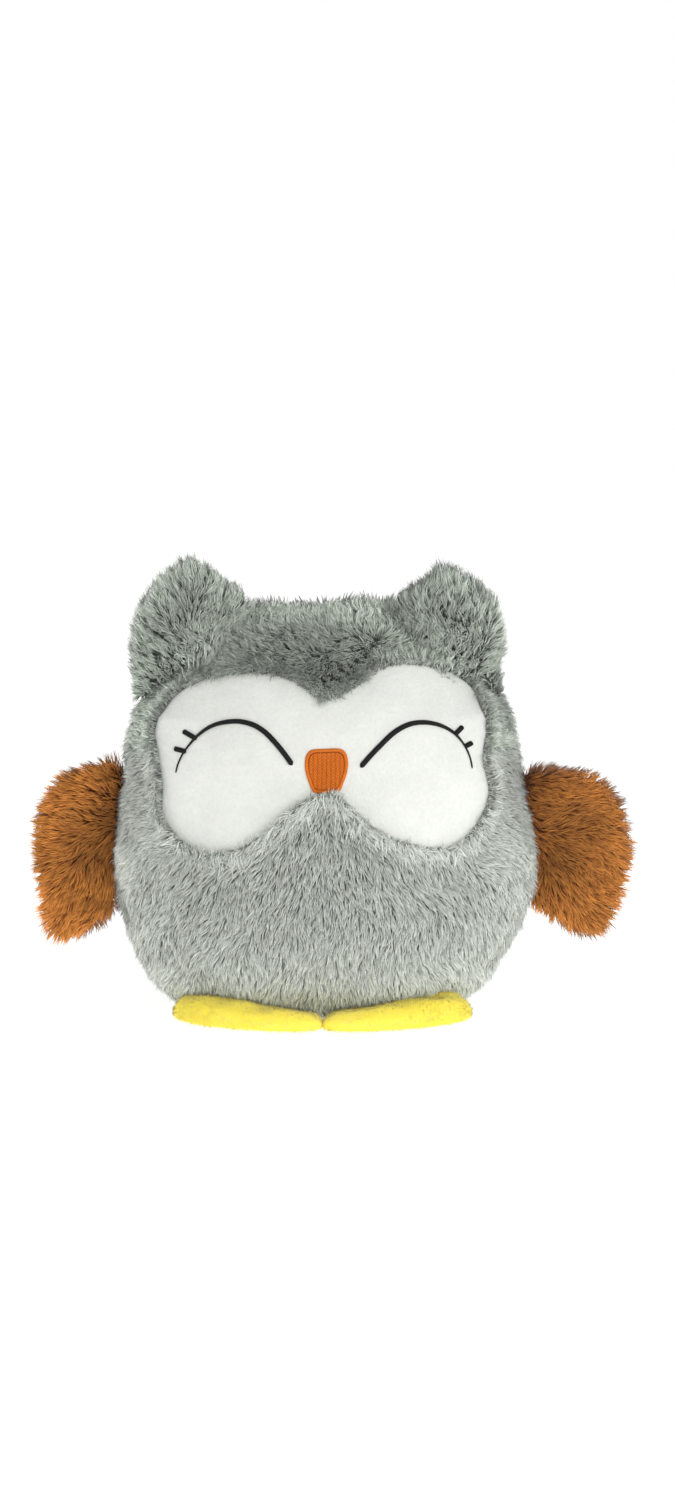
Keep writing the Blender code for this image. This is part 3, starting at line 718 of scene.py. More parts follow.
def strands(roots, normals, nap, lengths, look, seed):
    """Points of bent, tapered strands with three sides, and their normals and shades.

    A strand starts along the nap turned up by its lean, and bends over by its bend. The yaw, the
    lean and the length vary with the tuft, with slow ripples and with the strand, and each
    strand is pulled towards the middle of its tuft. Its rings have a flat side outwards."""
    random = np.random.default_rng(seed)
    count = len(roots)
    centre, traits = nearest_tuft(roots, look["tuft"], seed + 1)
    signed = 2 * traits - 1
    waves = 0.8 * ripple(roots, SLOW_WAVE, seed + 2) + 0.6 * ripple(roots, QUICK_WAVE, seed + 3)
    yaw = look["wander"] * (waves + 1.3 * signed[:, 0] + 0.5 * random.normal(size=count))
    lean = look["lean"] + look["rise"] * (1.6 * signed[:, 1] + 0.7 * random.normal(size=count))
    lean = np.clip(lean + 0.6 * look["rise"] * ripple(roots, LEAN_WAVE, seed + 4), *LEAN_LIMITS)
    reach = lengths * (0.82 + 0.3 * traits[:, 2]) * random.uniform(*LENGTH_SPREAD, count)
    nap = unit(nap - normals * (nap * normals).sum(-1, keepdims=True))
    side = np.cross(normals, nap)
    flow = nap * np.cos(yaw)[:, None] + side * np.sin(yaw)[:, None]
    pull = centre - roots
    pull = look["pull"] * (pull - normals * (pull * normals).sum(-1, keepdims=True))

    def heading(angle):
        return normals * np.cos(angle)[:, None] + flow * np.sin(angle)[:, None]

    first = heading(lean - look["bend"] / 2)
    second = heading(lean + look["bend"] / 2)
    half = reach[:, None] / 2
    middle = roots + first * half + 0.45 * pull
    width = look["width"] * random.uniform(*WIDTH_SPREAD, (count, 1))
    points = np.empty((count, 7, 3))
    facing = np.empty((count, 7, 3))
    for ring, (place, along, size) in enumerate(
        ((roots - ROOT_DEPTH * normals, first, width), (middle, unit(first + second), 0.8 * width))
    ):
        edge = unit(np.cross(along, normals))
        out = np.cross(edge, along)
        soft = unit(0.6 * normals + 0.4 * out)
        corners = (edge * size / 2, -out * size * 0.6, -edge * size / 2)
        turned = (unit(soft + 0.45 * edge), -out, unit(soft - 0.45 * edge))
        for corner in range(3):
            points[:, 3 * ring + corner] = place + corners[corner]
            facing[:, 3 * ring + corner] = turned[corner]
    points[:, 6] = middle + second * half + 0.55 * pull
    facing[:, 6] = unit(0.5 * normals + 0.5 * out)
    shade = 0.5 + 0.28 * signed[:, 3] + 0.28 * random.normal(size=count)
    return points, facing, np.clip(shade, 0, 1)


STRAND_QUADS = np.array(((0, 1, 4, 3), (1, 2, 5, 4), (2, 0, 3, 5)))
STRAND_TRIANGLES = np.array(((3, 4, 6), (4, 5, 6), (5, 3, 6), (0, 2, 1)))
STRAND_ALONG = np.array((0, 0, 0, 0.5, 0.5, 0.5, 1))
STRAND_ACROSS = np.array((0.2, 0.5, 0.8, 0.25, 0.5, 0.75, 0.5))


def pile_mesh(name, points, facing, shade, tone, root):
    """Mesh of strands. The strand attribute holds each point's shade, place along the strand from
    the root's share on, and tone. The bake's map gives each strand a cell in a square of cells."""
    count = len(points)
    base = 7 * np.arange(count)[:, None, None]
    faces = [(base + part).reshape(-1, part.shape[1]) for part in (STRAND_QUADS, STRAND_TRIANGLES)]
    mesh = new_mesh(name, points.reshape(-1, 3), faces)
    values = np.empty((count, 7, 3), np.float32)
    values[..., 0] = shade[:, None]
    values[..., 1] = lerp(root, 1, STRAND_ALONG)
    values[..., 2] = tone[:, None]
    mesh.attributes.new("strand", "FLOAT_VECTOR", "POINT").data.foreach_set("vector", values.ravel())
    side = math.ceil(math.sqrt(count))
    cell = np.stack([np.arange(count) % side, np.arange(count) // side], -1)[:, None]
    inside = np.stack([STRAND_ACROSS, 0.1 + 0.8 * STRAND_ALONG], -1)
    places = ((cell + inside) / side).reshape(-1, 2)
    corners = np.empty(len(mesh.loops), np.int32)
    mesh.loops.foreach_get("vertex_index", corners)
    layer = mesh.uv_layers.new(name="OFBake")
    layer.uv.foreach_set("vector", places[corners].astype(np.float32).ravel())
    mesh.shade_smooth()
    mesh.normals_split_custom_set_from_vertices(facing.reshape(-1, 3))
    return mesh


def make_pile(names, material, sheet, look, seed, body=None, key=0):
    """Pile over a surface, as one piece for each name. The sheet is (points, normals, nap, share
    of strands, share of length, tone) on a grid. The strands are dealt to the pieces in order of
    the root's coordinate that key gives."""
    random = np.random.default_rng(seed)
    points, normals, nap, *rest = sheet
    share, length, tone = (np.broadcast_to(value, points.shape[:2])[..., None] for value in rest)
    fine, values = refined(points, np.concatenate([share, normals, nap, length, tone], -1))
    found = np.concatenate(scattered(fine, values, look["density"], random), -1)
    found = found[np.argsort(found[:, key], kind="stable")]
    pieces = []
    for name, part in zip(names, np.array_split(found, len(names))):
        part = part[random.permutation(len(part))[:MOST_STRANDS]]
        roots, normals, nap = part[:, :3], unit(part[:, 4:7]), part[:, 7:10]
        points, facing, shade = strands(roots, normals, nap, look["length"] * part[:, 10], look, seed)
        points[..., 2] = np.maximum(points[..., 2], FLOOR_CLEARANCE)
        mesh = pile_mesh(name, points, facing, shade, part[:, 11], look["root"])
        pieces.append(add_piece(mesh, material, body))
    return pieces


def feed(tree, socket, value):
    """Links a node's output to the socket, or sets the socket to a plain value or colour."""
    if isinstance(value, bpy.types.NodeSocket):
        tree.links.new(value, socket)
    else:
        socket.default_value = (*value, 1) if socket.type == "RGBA" else value


def adjust(tree, made, **values):
    """Sets a node's properties and feeds its inputs, by name and in order."""
    for key, value in values.items():
        name = key.replace("_", " ")
        if name in made.inputs:
            feed(tree, made.inputs[name], value)
        else:
            setattr(made, key, value)


def node(tree, kind, *first, **values):
    """New shader node. Some values go by name, and the first inputs get the others in order."""
    made = tree.nodes.new("ShaderNode" + kind)
    adjust(tree, made, **values)
    for socket, value in zip(made.inputs, first):
        feed(tree, socket, value)
    return made


def worked(tree, operation, *values):
    """Result of a sum on plain numbers or outputs."""
    return node(tree, "Math", *values, operation=operation).outputs[0]


def scaled(tree, colour, amount):
    """Colour times an amount."""
    return node(tree, "VectorMath", colour, operation="SCALE", Scale=amount).outputs[0]


def mixed(tree, share, low, high):
    """Colour at a share of the way from the low one to the high one."""
    mix = node(tree, "Mix", share, data_type="RGBA")
    low_socket, high_socket = (socket for socket in mix.inputs if socket.type == "RGBA")
    feed(tree, low_socket, low)
    feed(tree, high_socket, high)
    return next(socket for socket in mix.outputs if socket.type == "RGBA")


def new_group(name, inputs, outputs):
    """Empty shader node group with named inputs (kind, value) and named outputs (kind)."""
    tree = bpy.data.node_groups.new(name, "ShaderNodeTree")
    for label, (kind, value) in inputs.items():
        socket = tree.interface.new_socket(label, in_out="INPUT", socket_type="NodeSocket" + kind)
        socket.default_value = value
    for label, kind in outputs.items():
        tree.interface.new_socket(label, in_out="OUTPUT", socket_type="NodeSocket" + kind)
    return tree, tree.nodes.new("NodeGroupInput").outputs, tree.nodes.new("NodeGroupOutput")


def pile_group():
    """Colour of pile: root to middle to tip along the strand, the dark root partly painted shade
    between the strands and the light tip partly painted light, lighter or darker by the strand's
    own shade and by slow patches, and times its tone, which carries painted light and shade."""
    plain = ("Color", (0, 0, 0, 1))
    tree, given, result = new_group(
        "pile_colour",
        {
            "Root": plain, "Middle": plain, "Tip": plain,
            "Spread": ("Float", 0.3), "Patches": ("Float", 0.1),
        },
        {"Color": "Color"},
    )
    strand = node(tree, "Attribute", attribute_name="strand")
    shade, along, tone = node(tree, "SeparateXYZ", strand.outputs["Vector"]).outputs
    lower = node(tree, "MapRange", along, interpolation_type="SMOOTHSTEP", From_Max=0.55)
    upper = node(tree, "MapRange", along, From_Min=0.45)
    body = mixed(tree, lower.outputs[0], given["Root"], given["Middle"])
    whole = mixed(tree, upper.outputs[0], body, given["Tip"])
    place = node(tree, "TexCoord").outputs["Object"]
    patch = node(tree, "TexNoise", place, Scale=38.0, Detail=2.0).outputs[0]
    swings = []
    for source, amount in ((shade, "Spread"), (patch, "Patches")):
        centred = node(tree, "MapRange", source, clamp=False, To_Min=-1.0)
        swings.append(worked(tree, "MULTIPLY", centred.outputs[0], given[amount]))
    light = worked(tree, "MULTIPLY_ADD", worked(tree, "ADD", *swings), tone, tone)
    adjust(tree, result, Color=scaled(tree, whole, light))
    return tree


def fabric(name, roughness, sheen=0.0):
    """Material with a Principled shader for cloth, and its parts."""
    material = bpy.data.materials.new(name)
    material.use_nodes = True
    tree = material.node_tree
    shader = tree.nodes["Principled BSDF"]
    adjust(tree, shader, Roughness=roughness, Specular_IOR_Level=0.2, Sheen_Weight=sheen)
    adjust(tree, shader, Sheen_Roughness=0.5)
    return material, tree, shader


def pile_material(name, colours, spread, patches):
    """Pile whose colour comes from the pile group."""
    material, tree, shader = fabric(name, 0.8, 0.35)
    group = node(tree, "Group", node_tree=PILE_GROUP, Spread=spread, Patches=patches, **colours)
    adjust(tree, shader, Base_Color=group.outputs["Color"])
    return material


def velour_group():
    """Short pile on cloth: fine noise gives the height, and slower noise a change of shade."""
    tree, given, result = new_group(
        "velour_nap",
        {"Color": ("Color", (1, 1, 1, 1)), "Change": ("Float", 0.05), "Fineness": ("Float", 900.0)},
        {"Color": "Color", "Height": "Float"},
    )
    place = node(tree, "TexCoord").outputs["Object"]
    fine = node(tree, "TexNoise", place, Scale=given["Fineness"], Detail=3.0, Roughness=0.7).outputs[0]
    slow = node(tree, "TexNoise", place, Scale=60.0, Detail=4.0).outputs[0]
    centred = worked(tree, "SUBTRACT", worked(tree, "ADD", fine, slow), 1.0)
    change = worked(tree, "MULTIPLY_ADD", centred, given["Change"], 1.0)
    adjust(tree, result, Color=scaled(tree, given["Color"], change), Height=fine)
    return tree


def velour_parts(tree, colour, change, fineness):
    """Outputs of the velour group for this colour, change of shade and fineness."""
    group = node(tree, "Group", node_tree=VELOUR_GROUP, Color=colour, Change=change, Fineness=fineness)
    return group.outputs


def velour_material(name, colour, change, fineness, bump):
    """Velour whose colour and nap come from the velour group."""
    material, tree, shader = fabric(name, 0.85, 0.3)
    parts = velour_parts(tree, colour, change, fineness)
    raised = node(tree, "Bump", Strength=bump, Distance=0.0004, Height=parts["Height"])
    adjust(tree, shader, Base_Color=parts["Color"], Normal=raised.outputs[0])
    return material


def cloth_material(name, colour):
    """Backing cloth under the pile, in one dull shade with a faint change."""
    return velour_material(name, colour, 0.2, 1500.0, 0.3)


def thread_material(name, colour, roughness):
    """Embroidery thread, with painted shade in the grooves between the stitches."""
    material, tree, shader = fabric(name, roughness)
    ridge = node(tree, "Attribute", attribute_name="ridge").outputs["Fac"]
    shade = node(tree, "MapRange", ridge, To_Min=0.42, To_Max=1.18).outputs[0]
    dyed = velour_parts(tree, colour, 0.3, 700.0)["Color"]
    adjust(tree, shader, Base_Color=scaled(tree, dyed, shade))
    return material


def vectors(x, y, z):
    """Vectors from their three parts, each an array or a number."""
    return np.stack(np.broadcast_arrays(x, y, z), -1).astype(float)


def front_nap(points):
    """Direction of the front's pile, by place: down the belly in a fan from the chin, outwards
    beside the face, over the brow down near the middle, and away from the face elsewhere."""
    x, z = points[..., 0], points[..., 2]
    side = x / BODY_HALF_WIDTH
    chin = bell(x, 0, CHIN_SPREAD[0]) * bell(z, CHIN_HEIGHT, CHIN_SPREAD[1])
    flow = vectors(0.3 * side + CHIN_FAN * x * chin, 0, -1)
    beside = smooth_step(np.abs(x), *BESIDE_REACH) * bell(z, *BESIDE_HEIGHT)
    flow += beside[..., None] * vectors(2.2 * np.sign(x), 0, 0.2)
    middle = bell(x, 0, BROW_MIDDLE)
    over = vectors(lerp(1.1 * np.sign(x), -0.25, middle), 0, lerp(0.55, -1.0, middle))
    across = vectors(-0.9 + 0.8 * side, 0, 0.15)
    over = lerp(over, across, (smooth_step(z, *PART_BAND) * middle)[..., None])
    over = lerp(over, vectors(0.2 * side, 0.6, 1.0), smooth_step(z, *STAND_BAND)[..., None])
    return lerp(flow, over, smooth_step(z, *BROW_BAND)[..., None])


def front_tone_and_painted_light(points):
    """How light the front's pile is, with light and shade painted in: painted shade over the brow,
    where it points at the eye, a little painted shade in the belly's middle and high on the sides,
    and painted light towards the base, at the crown and low on the sides."""
    x, z = points[..., 0], points[..., 2]
    # Painted shade over the brow, most in its middle, less to the left and at its ends
    brow = smooth_step(z, *BROW_SHADE_FOOT) * (1 - smooth_step(z, *BROW_SHADE_TOP))
    brow *= 0.55 + 0.45 * bell(x, *BROW_SHADE_MIDDLE)
    brow *= 1 - 0.45 * smooth_step(x, *BROW_SHADE_LEFT)
    brow *= 1 - 0.5 * smooth_step(np.abs(x), *BROW_SHADE_ENDS)
    # Painted shade high on the sides and painted light low on them, different on the left and the right
    high = np.where(x > 0, *SIDE_PAINTED_SHADE_HIGH)
    low = np.where(x > 0, *SIDE_PAINTED_LIGHT_LOW)
    edge = smooth_step(np.abs(x), *SIDE_REACH) * lerp(high, low, smooth_step(z, *SIDE_BAND))
    # Painted shade in the belly's middle, and painted light towards the base and at the crown
    middle = bell(x, 0, BELLY_SPREAD[0]) * bell(z, BELLY_HEIGHT, BELLY_SPREAD[1])
    ends = smooth_step(z, *BASE_PAINTED_LIGHT_BAND) + smooth_step(z, *CROWN_PAINTED_LIGHT_BAND)
    return FRONT_TONE - 0.50 * brow + edge + 0.12 * (ends - middle)


def back_nap(points):
    """Direction of the back's pile: down, outwards under the ears, and up at the crown."""
    x, z = points[..., 0], points[..., 2]
    under = bell(z, *UNDER_EAR_HEIGHT) * smooth_step(np.abs(x), *UNDER_EAR_REACH)
    down = vectors(0.3 * x / BODY_HALF_WIDTH + 3 * under * np.sign(x), 0.3, -1)
    return lerp(down, vectors(0.4 * np.sign(x), -0.3, 1.0), smooth_step(z, *STAND_BAND)[..., None])


def panel_cloth(name, plan, side, depth, replaced):
    """Padded cloth of a panel, this deep inside the body's sections. Returns its outside's grid."""
    skin = body_point(*plan, side, depth)
    mesh = wall_mesh(name, skin, body_point(*plan, side, depth + CLOTH_THICKNESS))
    cloth = add_piece(mesh, GREY_CLOTH, "body", [replaced])
    return skin


def make_front():
    """Cloth and pile of the forehead and chest, which hangs over the face patch in a fringe. A
    short pile on the edge of the cloth hides the seam."""
    for name, shares, corners, rows, parts, finish, look, hanging, seed in (
        (
            "forehead", BROW_SHARES, FOREHEAD_CORNERS, 24, ("right", "left"),
            TUFTED_FUR, BROW_PILE, BROW_FRINGE_PILE, 11,
        ),
        (
            "chest", CHEEK_SHARES, CHEST_CORNERS, 40, ("right", "half_right", "half_left", "left"),
            GREY_FUR, GREY_PILE, FRINGE_PILE, 12,
        ),
    ):
        shares_of_grid = grid(rows, 160)
        plan = front_panel_plan(shares, corners, *shares_of_grid)
        depth = lerp(FACE_RECESS, PILE_DEPTH, smooth_step(shares_of_grid[1], 0.0, RECESS_SHARE))
        skin = panel_cloth(f"{name}_cloth", plan, FRONT, depth, f"{name}_panel")
        short = lerp(0.70, 1.0, smooth_step(skin[..., 2], *SHORT_BAND))
        normals = normals_of(skin, skin - BODY_MIDDLE)
        sheet = (skin, normals, front_nap(skin), 1.0, short, front_tone_and_painted_light(skin))
        names = [f"{name}_pile_{part}" for part in parts]
        make_pile(names, finish, sheet, look, seed, "body")

        across, rise, out_share = edge_band(shares, *FRINGE_REACH, 6)
        seam = face_point(across, rise, lerp(*FRINGE_LIFT, out_share))
        away = unit(np.gradient(seam, axis=0))
        near = bell(seam[..., 0], 0, CHIN_SPREAD[0])[..., None]
        if name == "forehead":
            hang = smooth_step(seam[..., 0], *HANG_LEFT) * smooth_step(seam[..., 0], *HANG_RIGHT)
            away = away * (1 - 2 * hang)[..., None] + vectors(0, 0, -1.2 * hang)
            longer, painted_light = 1.0, 0.0
        else:
            chin = BODY_HEIGHT * FACE_CENTRE_SHARE + CHIN_RISE_SHARE * FACE_HEIGHT
            fan = unit((seam - UP * (chin + FAN_HEIGHT)) * (1, 0, 1))
            away = lerp(away + vectors(0, 0, -0.35), fan, near)
            # The chest's fringe is lighter by 0.16, painted light over the shade along the face's edge
            longer, painted_light = 1 + 0.35 * bell(seam[..., 0], 0, 0.03), 0.16
        strength = smooth_step(out_share, 0, 0.3) * lerp(1.0, 0.5, out_share)
        normals = normals_of(seam, seam - BODY_MIDDLE)
        sheet = (seam, normals, away, strength, longer, front_tone_and_painted_light(seam) + painted_light)
        make_pile([f"{name}_fringe"], finish, sheet, hanging, 15, "body")

        across, rise, out_share = edge_band(shares, *EDGE_REACH, 2)
        seam = face_point(across, rise, lerp(*EDGE_LIFT, out_share))
        back = -unit(np.gradient(seam, axis=0))
        normals = normals_of(seam, seam - BODY_MIDDLE)
        # The edge pile is lighter by 0.22, painted light over the seam's shade
        sheet = (seam, normals, back, 1.0, 1.0, front_tone_and_painted_light(seam) + 0.22)
        make_pile([f"{name}_edge_pile"], GREY_FUR, sheet, EDGE_PILE, 18, "body")


def make_back():
    """Cloth and pile of the two back panels, which meet in the seam down the back."""
    for side, low, high, seed in (("right", 0.0, 0.5, 13), ("left", 0.5, 1.0, 14)):
        first, second = grid(64, 44)
        plan = back_panel_plan(lerp(low, high, first), second)
        skin = panel_cloth(f"back_cloth_{side}", plan, BACK, PILE_DEPTH, f"back_panel_{side}")
        normals = normals_of(skin, skin - BODY_MIDDLE)
        # Painted light towards the top of the back
        tone = 1.1 + 0.3 * smooth_step(skin[..., 2], *BACK_PAINTED_LIGHT_BAND)
        sheet = (skin, normals, back_nap(skin), 1.0, 1.0, tone)
        names = [f"back_pile_{side}_low", f"back_pile_{side}_high"]
        make_pile(names, GREY_FUR, sheet, BACK_PILE, seed, "body", key=2)


def make_crown():
    """Pile that stands up along the crown's seam, over the parting of the front and back."""
    first, second = grid(8, 60)
    across = lerp(-CROWN_REACH, CROWN_REACH, first) * CROWN_HALF_WIDTH
    along = lerp(-1, 1, second)
    height = BODY_HEIGHT - PILE_DEPTH - CLOTH_THICKNESS - CROWN_DROP * along**2
    points = settled(np.stack([across, CROWN_BAND * along, height], -1))
    nap = vectors(np.sin(90 * points[..., 0]), np.cos(70 * points[..., 0]), 0.0)
    short = 1 - 0.55 * bell(points[..., 0], CROWN_DIP, CROWN_DIP_WIDTH)
    # The crown's pile takes a lighter tone of 1.15, which is painted light
    sheet = (points, normals_of(points, UP), nap, 1.0, short, 1.15)
    make_pile(["crown_pile"], TUFTED_FUR, sheet, CROWN_PILE, 71, "body")


def body_ring(turn, up, wall):
    """Points all round the body at a turn from its front, a wall inside its sections."""
    side = np.where(np.cos(turn) > 0, FRONT, BACK)
    return body_point(np.arcsin(np.sin(turn)), up, side, wall)


def make_stuffing():
    """Stuffing inside the body's cloth, a closed body of the same sections."""
    turn_share, up = grid(60, 96)
    rings = body_ring(2 * math.pi * turn_share[:, :-1], up[:, :-1], STUFFING_DEPTH)
    mesh = tube_mesh("stuffing", rings)
    piece = add_piece(mesh, FILLING, "body", ["stuffing_core"])


def make_base():
    """Flat base under the body, with its pile pressed flat."""
    first, second = grid(24, 96)
    rim = body_ring(2 * math.pi * first, 0 * first, PILE_DEPTH)
    flat = rim * np.stack([second, second, 0 * second], -1)
    top = flat + UP * (BASE_THICKNESS + BASE_LIP)
    bottom = flat + UP * lerp(BASE_THICKNESS, BASE_FLOOR, 1 - second**4)[..., None]
    mesh = wall_mesh("base_cloth", bottom, top, loop=True)
    cloth = add_piece(mesh, GREY_CLOTH, "body", ["base_panel"])
    normals = np.broadcast_to(-UP, bottom.shape)
    sheet = (bottom, normals, vectors(0 * first, -1, 0), 1.0, 0.8, 1.05)
    make_pile(["base_pile"], GREY_FUR, sheet, BASE_PILE, 17, "body")


def make_face():
    """White velour patch, a closed padded wall whose edge turns down into the seam."""
    turn, out = grid(36, 200)
    out = np.sin(out * math.pi / 2)
    plan = face_plan(*face_patch_plan(turn, out))
    edge = np.clip(1 - (1 - out) * FACE_EDGE_STEEPNESS, 0, 1) ** 3
    outer = body_point(*plan, FRONT, FACE_RECESS + FACE_EDGE_DROP * edge)
    inner = body_point(*plan, FRONT, PILE_DEPTH + CLOTH_THICKNESS)
    mesh = wall_mesh("face_velour", outer, inner, loop=True)
    piece = add_piece(mesh, WHITE_VELOUR, "body", ["face_patch"])


def set_groove_shade(mesh, values):
    """Stores how deep each point lies between the stitches, from 0 in a groove to 1 on a ridge,
    which the thread's colour takes as painted shade.
    """
    mesh.attributes.new("ridge", "FLOAT", "POINT").data.foreach_set("value", values.astype(np.float32))


def bead(name, line, radius, slant, material, loop=False, wobble=0.12, floor=0.0):
    """Line of satin stitch over the face: a round bead whose radius waves with the stitches,
    which lie across it at a slant, so the wave's phase also changes round the bead."""
    centre = face_point(*line.T, 0.0)
    out = unit(face_point(*line.T, 0.001) - centre)
    along = np.roll(centre, -1, 0) - np.roll(centre, 1, 0) if loop else np.gradient(centre, axis=0)
    side = unit(np.cross(unit(along), out))
    step = np.linalg.norm(np.diff(centre, axis=0), axis=-1)
    place = np.concatenate([[0], np.cumsum(step)])
    angle = np.arange(BEAD_SIDES) * 2 * math.pi / BEAD_SIDES
    phase = 2 * math.pi * place[:, None] / STITCH_PITCH + slant * np.sin(angle)
    # Painted shade in the grooves between the stitches
    ridge = lerp(floor, 1, 0.5 + 0.5 * np.cos(phase)).ravel()
    radius = radius[:, None]
    size = radius * (1 + wobble * np.cos(phase))
    height = BEAD_FLATNESS * size * np.cos(angle) + BEAD_LIFT * radius
    rings = centre[:, None] + (size * np.sin(angle))[..., None] * side[:, None]
    rings = rings + height[..., None] * out[:, None]
    if loop:
        index = ring_index(rings.shape)
        mesh = new_mesh(name, rings.reshape(-1, 3), [quads_of(np.concatenate([index, index[:1]]))])
        set_groove_shade(mesh, ridge)
        mesh = closed(mesh)
    else:
        mesh = tube_mesh(name, rings, ridge)
    return add_piece(mesh, material, "body", [name])


def tapered(share, taper):
    """Radius along a bead, as a share: a rounded end over the taper, full between."""
    return np.minimum(1, np.sqrt(np.minimum(share, 1 - share) / taper + 0.02))


def make_eyes():
    """Closed eyes: one curved bead and two lashes a side."""
    face = np.array((FACE_HALF_WIDTH, FACE_HEIGHT))
    for side, hand in (("left", LEFT), ("right", RIGHT)):
        share = np.linspace(0, 1, 700)
        line = outline_points(EYE_SHARES[hand], share) * face * (hand, 1)
        radius = EYE_THREAD_RADIUS * read_table(EYE_WEIGHT_SHARES, share)[:, 0]
        radius = radius * tapered(share, 0.012)
        bead(f"{side}_eye_line", line, radius, 2.0, BLACK_THREAD)
        for lash, (start, end) in LASH_SHARES[hand].items():
            share = np.linspace(0, 1, 120)
            line = lerp(np.array(start), np.array(end), share[:, None]) * face * (hand, 1)
            radius = LASH_RADIUS * tapered(share, 0.06)
            bead(f"{side}_{lash}_lash", line, radius, 2.0, BLACK_THREAD)


def beak_outline(turn):
    """Edge of the beak; turn runs from the top at 0 to the bottom at 1 and on to 2."""
    hand = np.where(turn <= 1, LEFT, RIGHT)
    points = outline_points(BEAK_SHARES, np.where(turn <= 1, turn, 2 - turn))
    lowest = CHIN_RISE_SHARE * FACE_HEIGHT + BEAK_BORDER_RADIUS
    across = BEAK_DRIFT + hand * points[..., 0] * BEAK_HALF_WIDTH
    return np.stack([across, lowest + points[..., 1] * BEAK_HEIGHT], -1)


def make_beak():
    """Embroidered beak: a satin border, and a fill of upright columns of slanting stitches."""
    edge = beak_outline(np.linspace(0, 2, 640, endpoint=False))
    radius = np.full(len(edge), BEAK_BORDER_RADIUS)
    bead(
        "beak_border", edge, radius, 1.2, ORANGE_THREAD,
        loop=True, wobble=0.1, floor=0.38,
    )
    turn_share, out_share = grid(66, 300)
    centre = (beak_outline(np.array(0.0)) + beak_outline(np.array(1.0))) / 2
    reach = out_share * BEAK_FILL_SHARE
    place = centre + (beak_outline(2 * turn_share) - centre) * reach[..., None]
    column = (0.5 + (place[..., 0] - BEAK_DRIFT) / (2 * BEAK_HALF_WIDTH)) * BEAK_FILL_COLUMNS
    slant = np.abs((column % 1) - 0.5) * 2
    stitch = np.cos(2 * math.pi * (place[..., 1] / (3.3 * STITCH_PITCH) + 1.1 * slant))
    ridge = 1 - (1 - slant) ** 3
    lift = FILL_LIFT * (3 + 3 * ridge + 2 * stitch) * np.clip((1 - out_share) * 12, 0.2, 1)
    outer = face_point(place[..., 0], place[..., 1], lift)
    inner = face_point(place[..., 0], place[..., 1], -4 * FILL_LIFT)
    # Painted shade in the grooves between the columns and the stitches, and at the fill's edge by the
    # border
    high = (0.54 + 0.42 * ridge) * (0.72 + 0.28 * stitch) * smooth_step(out_share, 1.0, 0.93)
    mesh = wall_mesh("beak_fill", outer, inner, loop=True, ridge=high)
    add_piece(mesh, ORANGE_THREAD, "body", ["beak_fill"])


def ear_place(hand):
    """Middle surface of an ear, from its sewn crease to the edge of its cloth, in the side
    seams' plane. Also the way out of the crease and the crease's middle."""
    inner = np.array((CROWN_HALF_WIDTH, 0, BODY_HEIGHT))
    width = BODY_HALF_WIDTH * SIDE_SHARES[-1][1]
    outer = np.array((width, 0, lerp(BASE_THICKNESS, BODY_HEIGHT, CREASE_LOW_SHARE)))
    along = outer - inner
    out = unit(np.array((-along[2], 0, along[0])))

    def place(first, second):
        far = outline_points(EAR_SKIN_SHARES[hand], second)
        root = inner + along * lerp(*EAR_ROOT_SHARES, second)[..., None]
        rim = inner + along * far[..., :1] + out * (far[..., 1:] * EAR_HEIGHT)
        return settled(lerp(root, rim, first[..., None]) * (hand, 1, 1))

    return place, out * (hand, 1, 1), (inner + along / 2) * (hand, 1, 1)


def wing_place(hand):
    """Middle surface of a wing, from the side seam to its outline moved in by WING_INSET."""

    def place(first, second):
        height = WING_ROOT_HEIGHT + lerp(-1, 1, second) * (WING_ROOT_HALF_LENGTH - WING_INSET)
        far = outline_points(WING_OUTLINE_SHARES[hand], second)
        across = BODY_HALF_WIDTH + far[..., 0] * WING_SPAN - WING_INSET
        rise = BODY_HEIGHT * WING_CENTRE_SHARE + far[..., 1] * (WING_HALF_HEIGHT - 0.7 * WING_INSET)
        root, rim = vectors(half_width(up_share(height)), 0, height), vectors(across, 0, rise)
        return settled(lerp(root, rim, first[..., None]) * (hand, 1, 1))

    return place


def limb_thickness(most, second, ease=0.0):
    """Half thickness of a limb at a share of its length: a half circle, a little fuller, and
    less by the ease towards the lower end."""
    full = np.sqrt(np.clip(1 - (2 * second - 1) ** 2, 0, 1)) ** 0.8
    return most * full * (1 - ease * smooth_step(second, 0.40, 0.90))


def limb_skin(place, swell, start, ease=0.0):
    """Closed cloth of a stuffed limb: each section from its start to the rim is an oval, and the
    ovals' thickness follows a half circle over the limb's length. Returns the points, normals,
    nap outwards, and both shares."""
    around, second = grid(LIMB_ROWS, LIMB_COLUMNS)
    second = lerp(*LIMB_ENDS, (1 - np.cos(math.pi * second)) / 2)
    angle = 2 * math.pi * around
    first = start + (1 - start) * (1 - np.cos(angle)) / 2
    points = place(first, second)
    most = np.where(np.sin(angle) > 0, swell[FRONT], swell[BACK])
    points[..., 1] -= limb_thickness(most, second, ease) * np.sin(angle)
    nap = unit(place(first + NAP_STEP, second) - place(first - NAP_STEP, second))
    away = points - place(np.array(0.5), np.array(0.5))
    return points, normals_of(points, away), nap, first, second


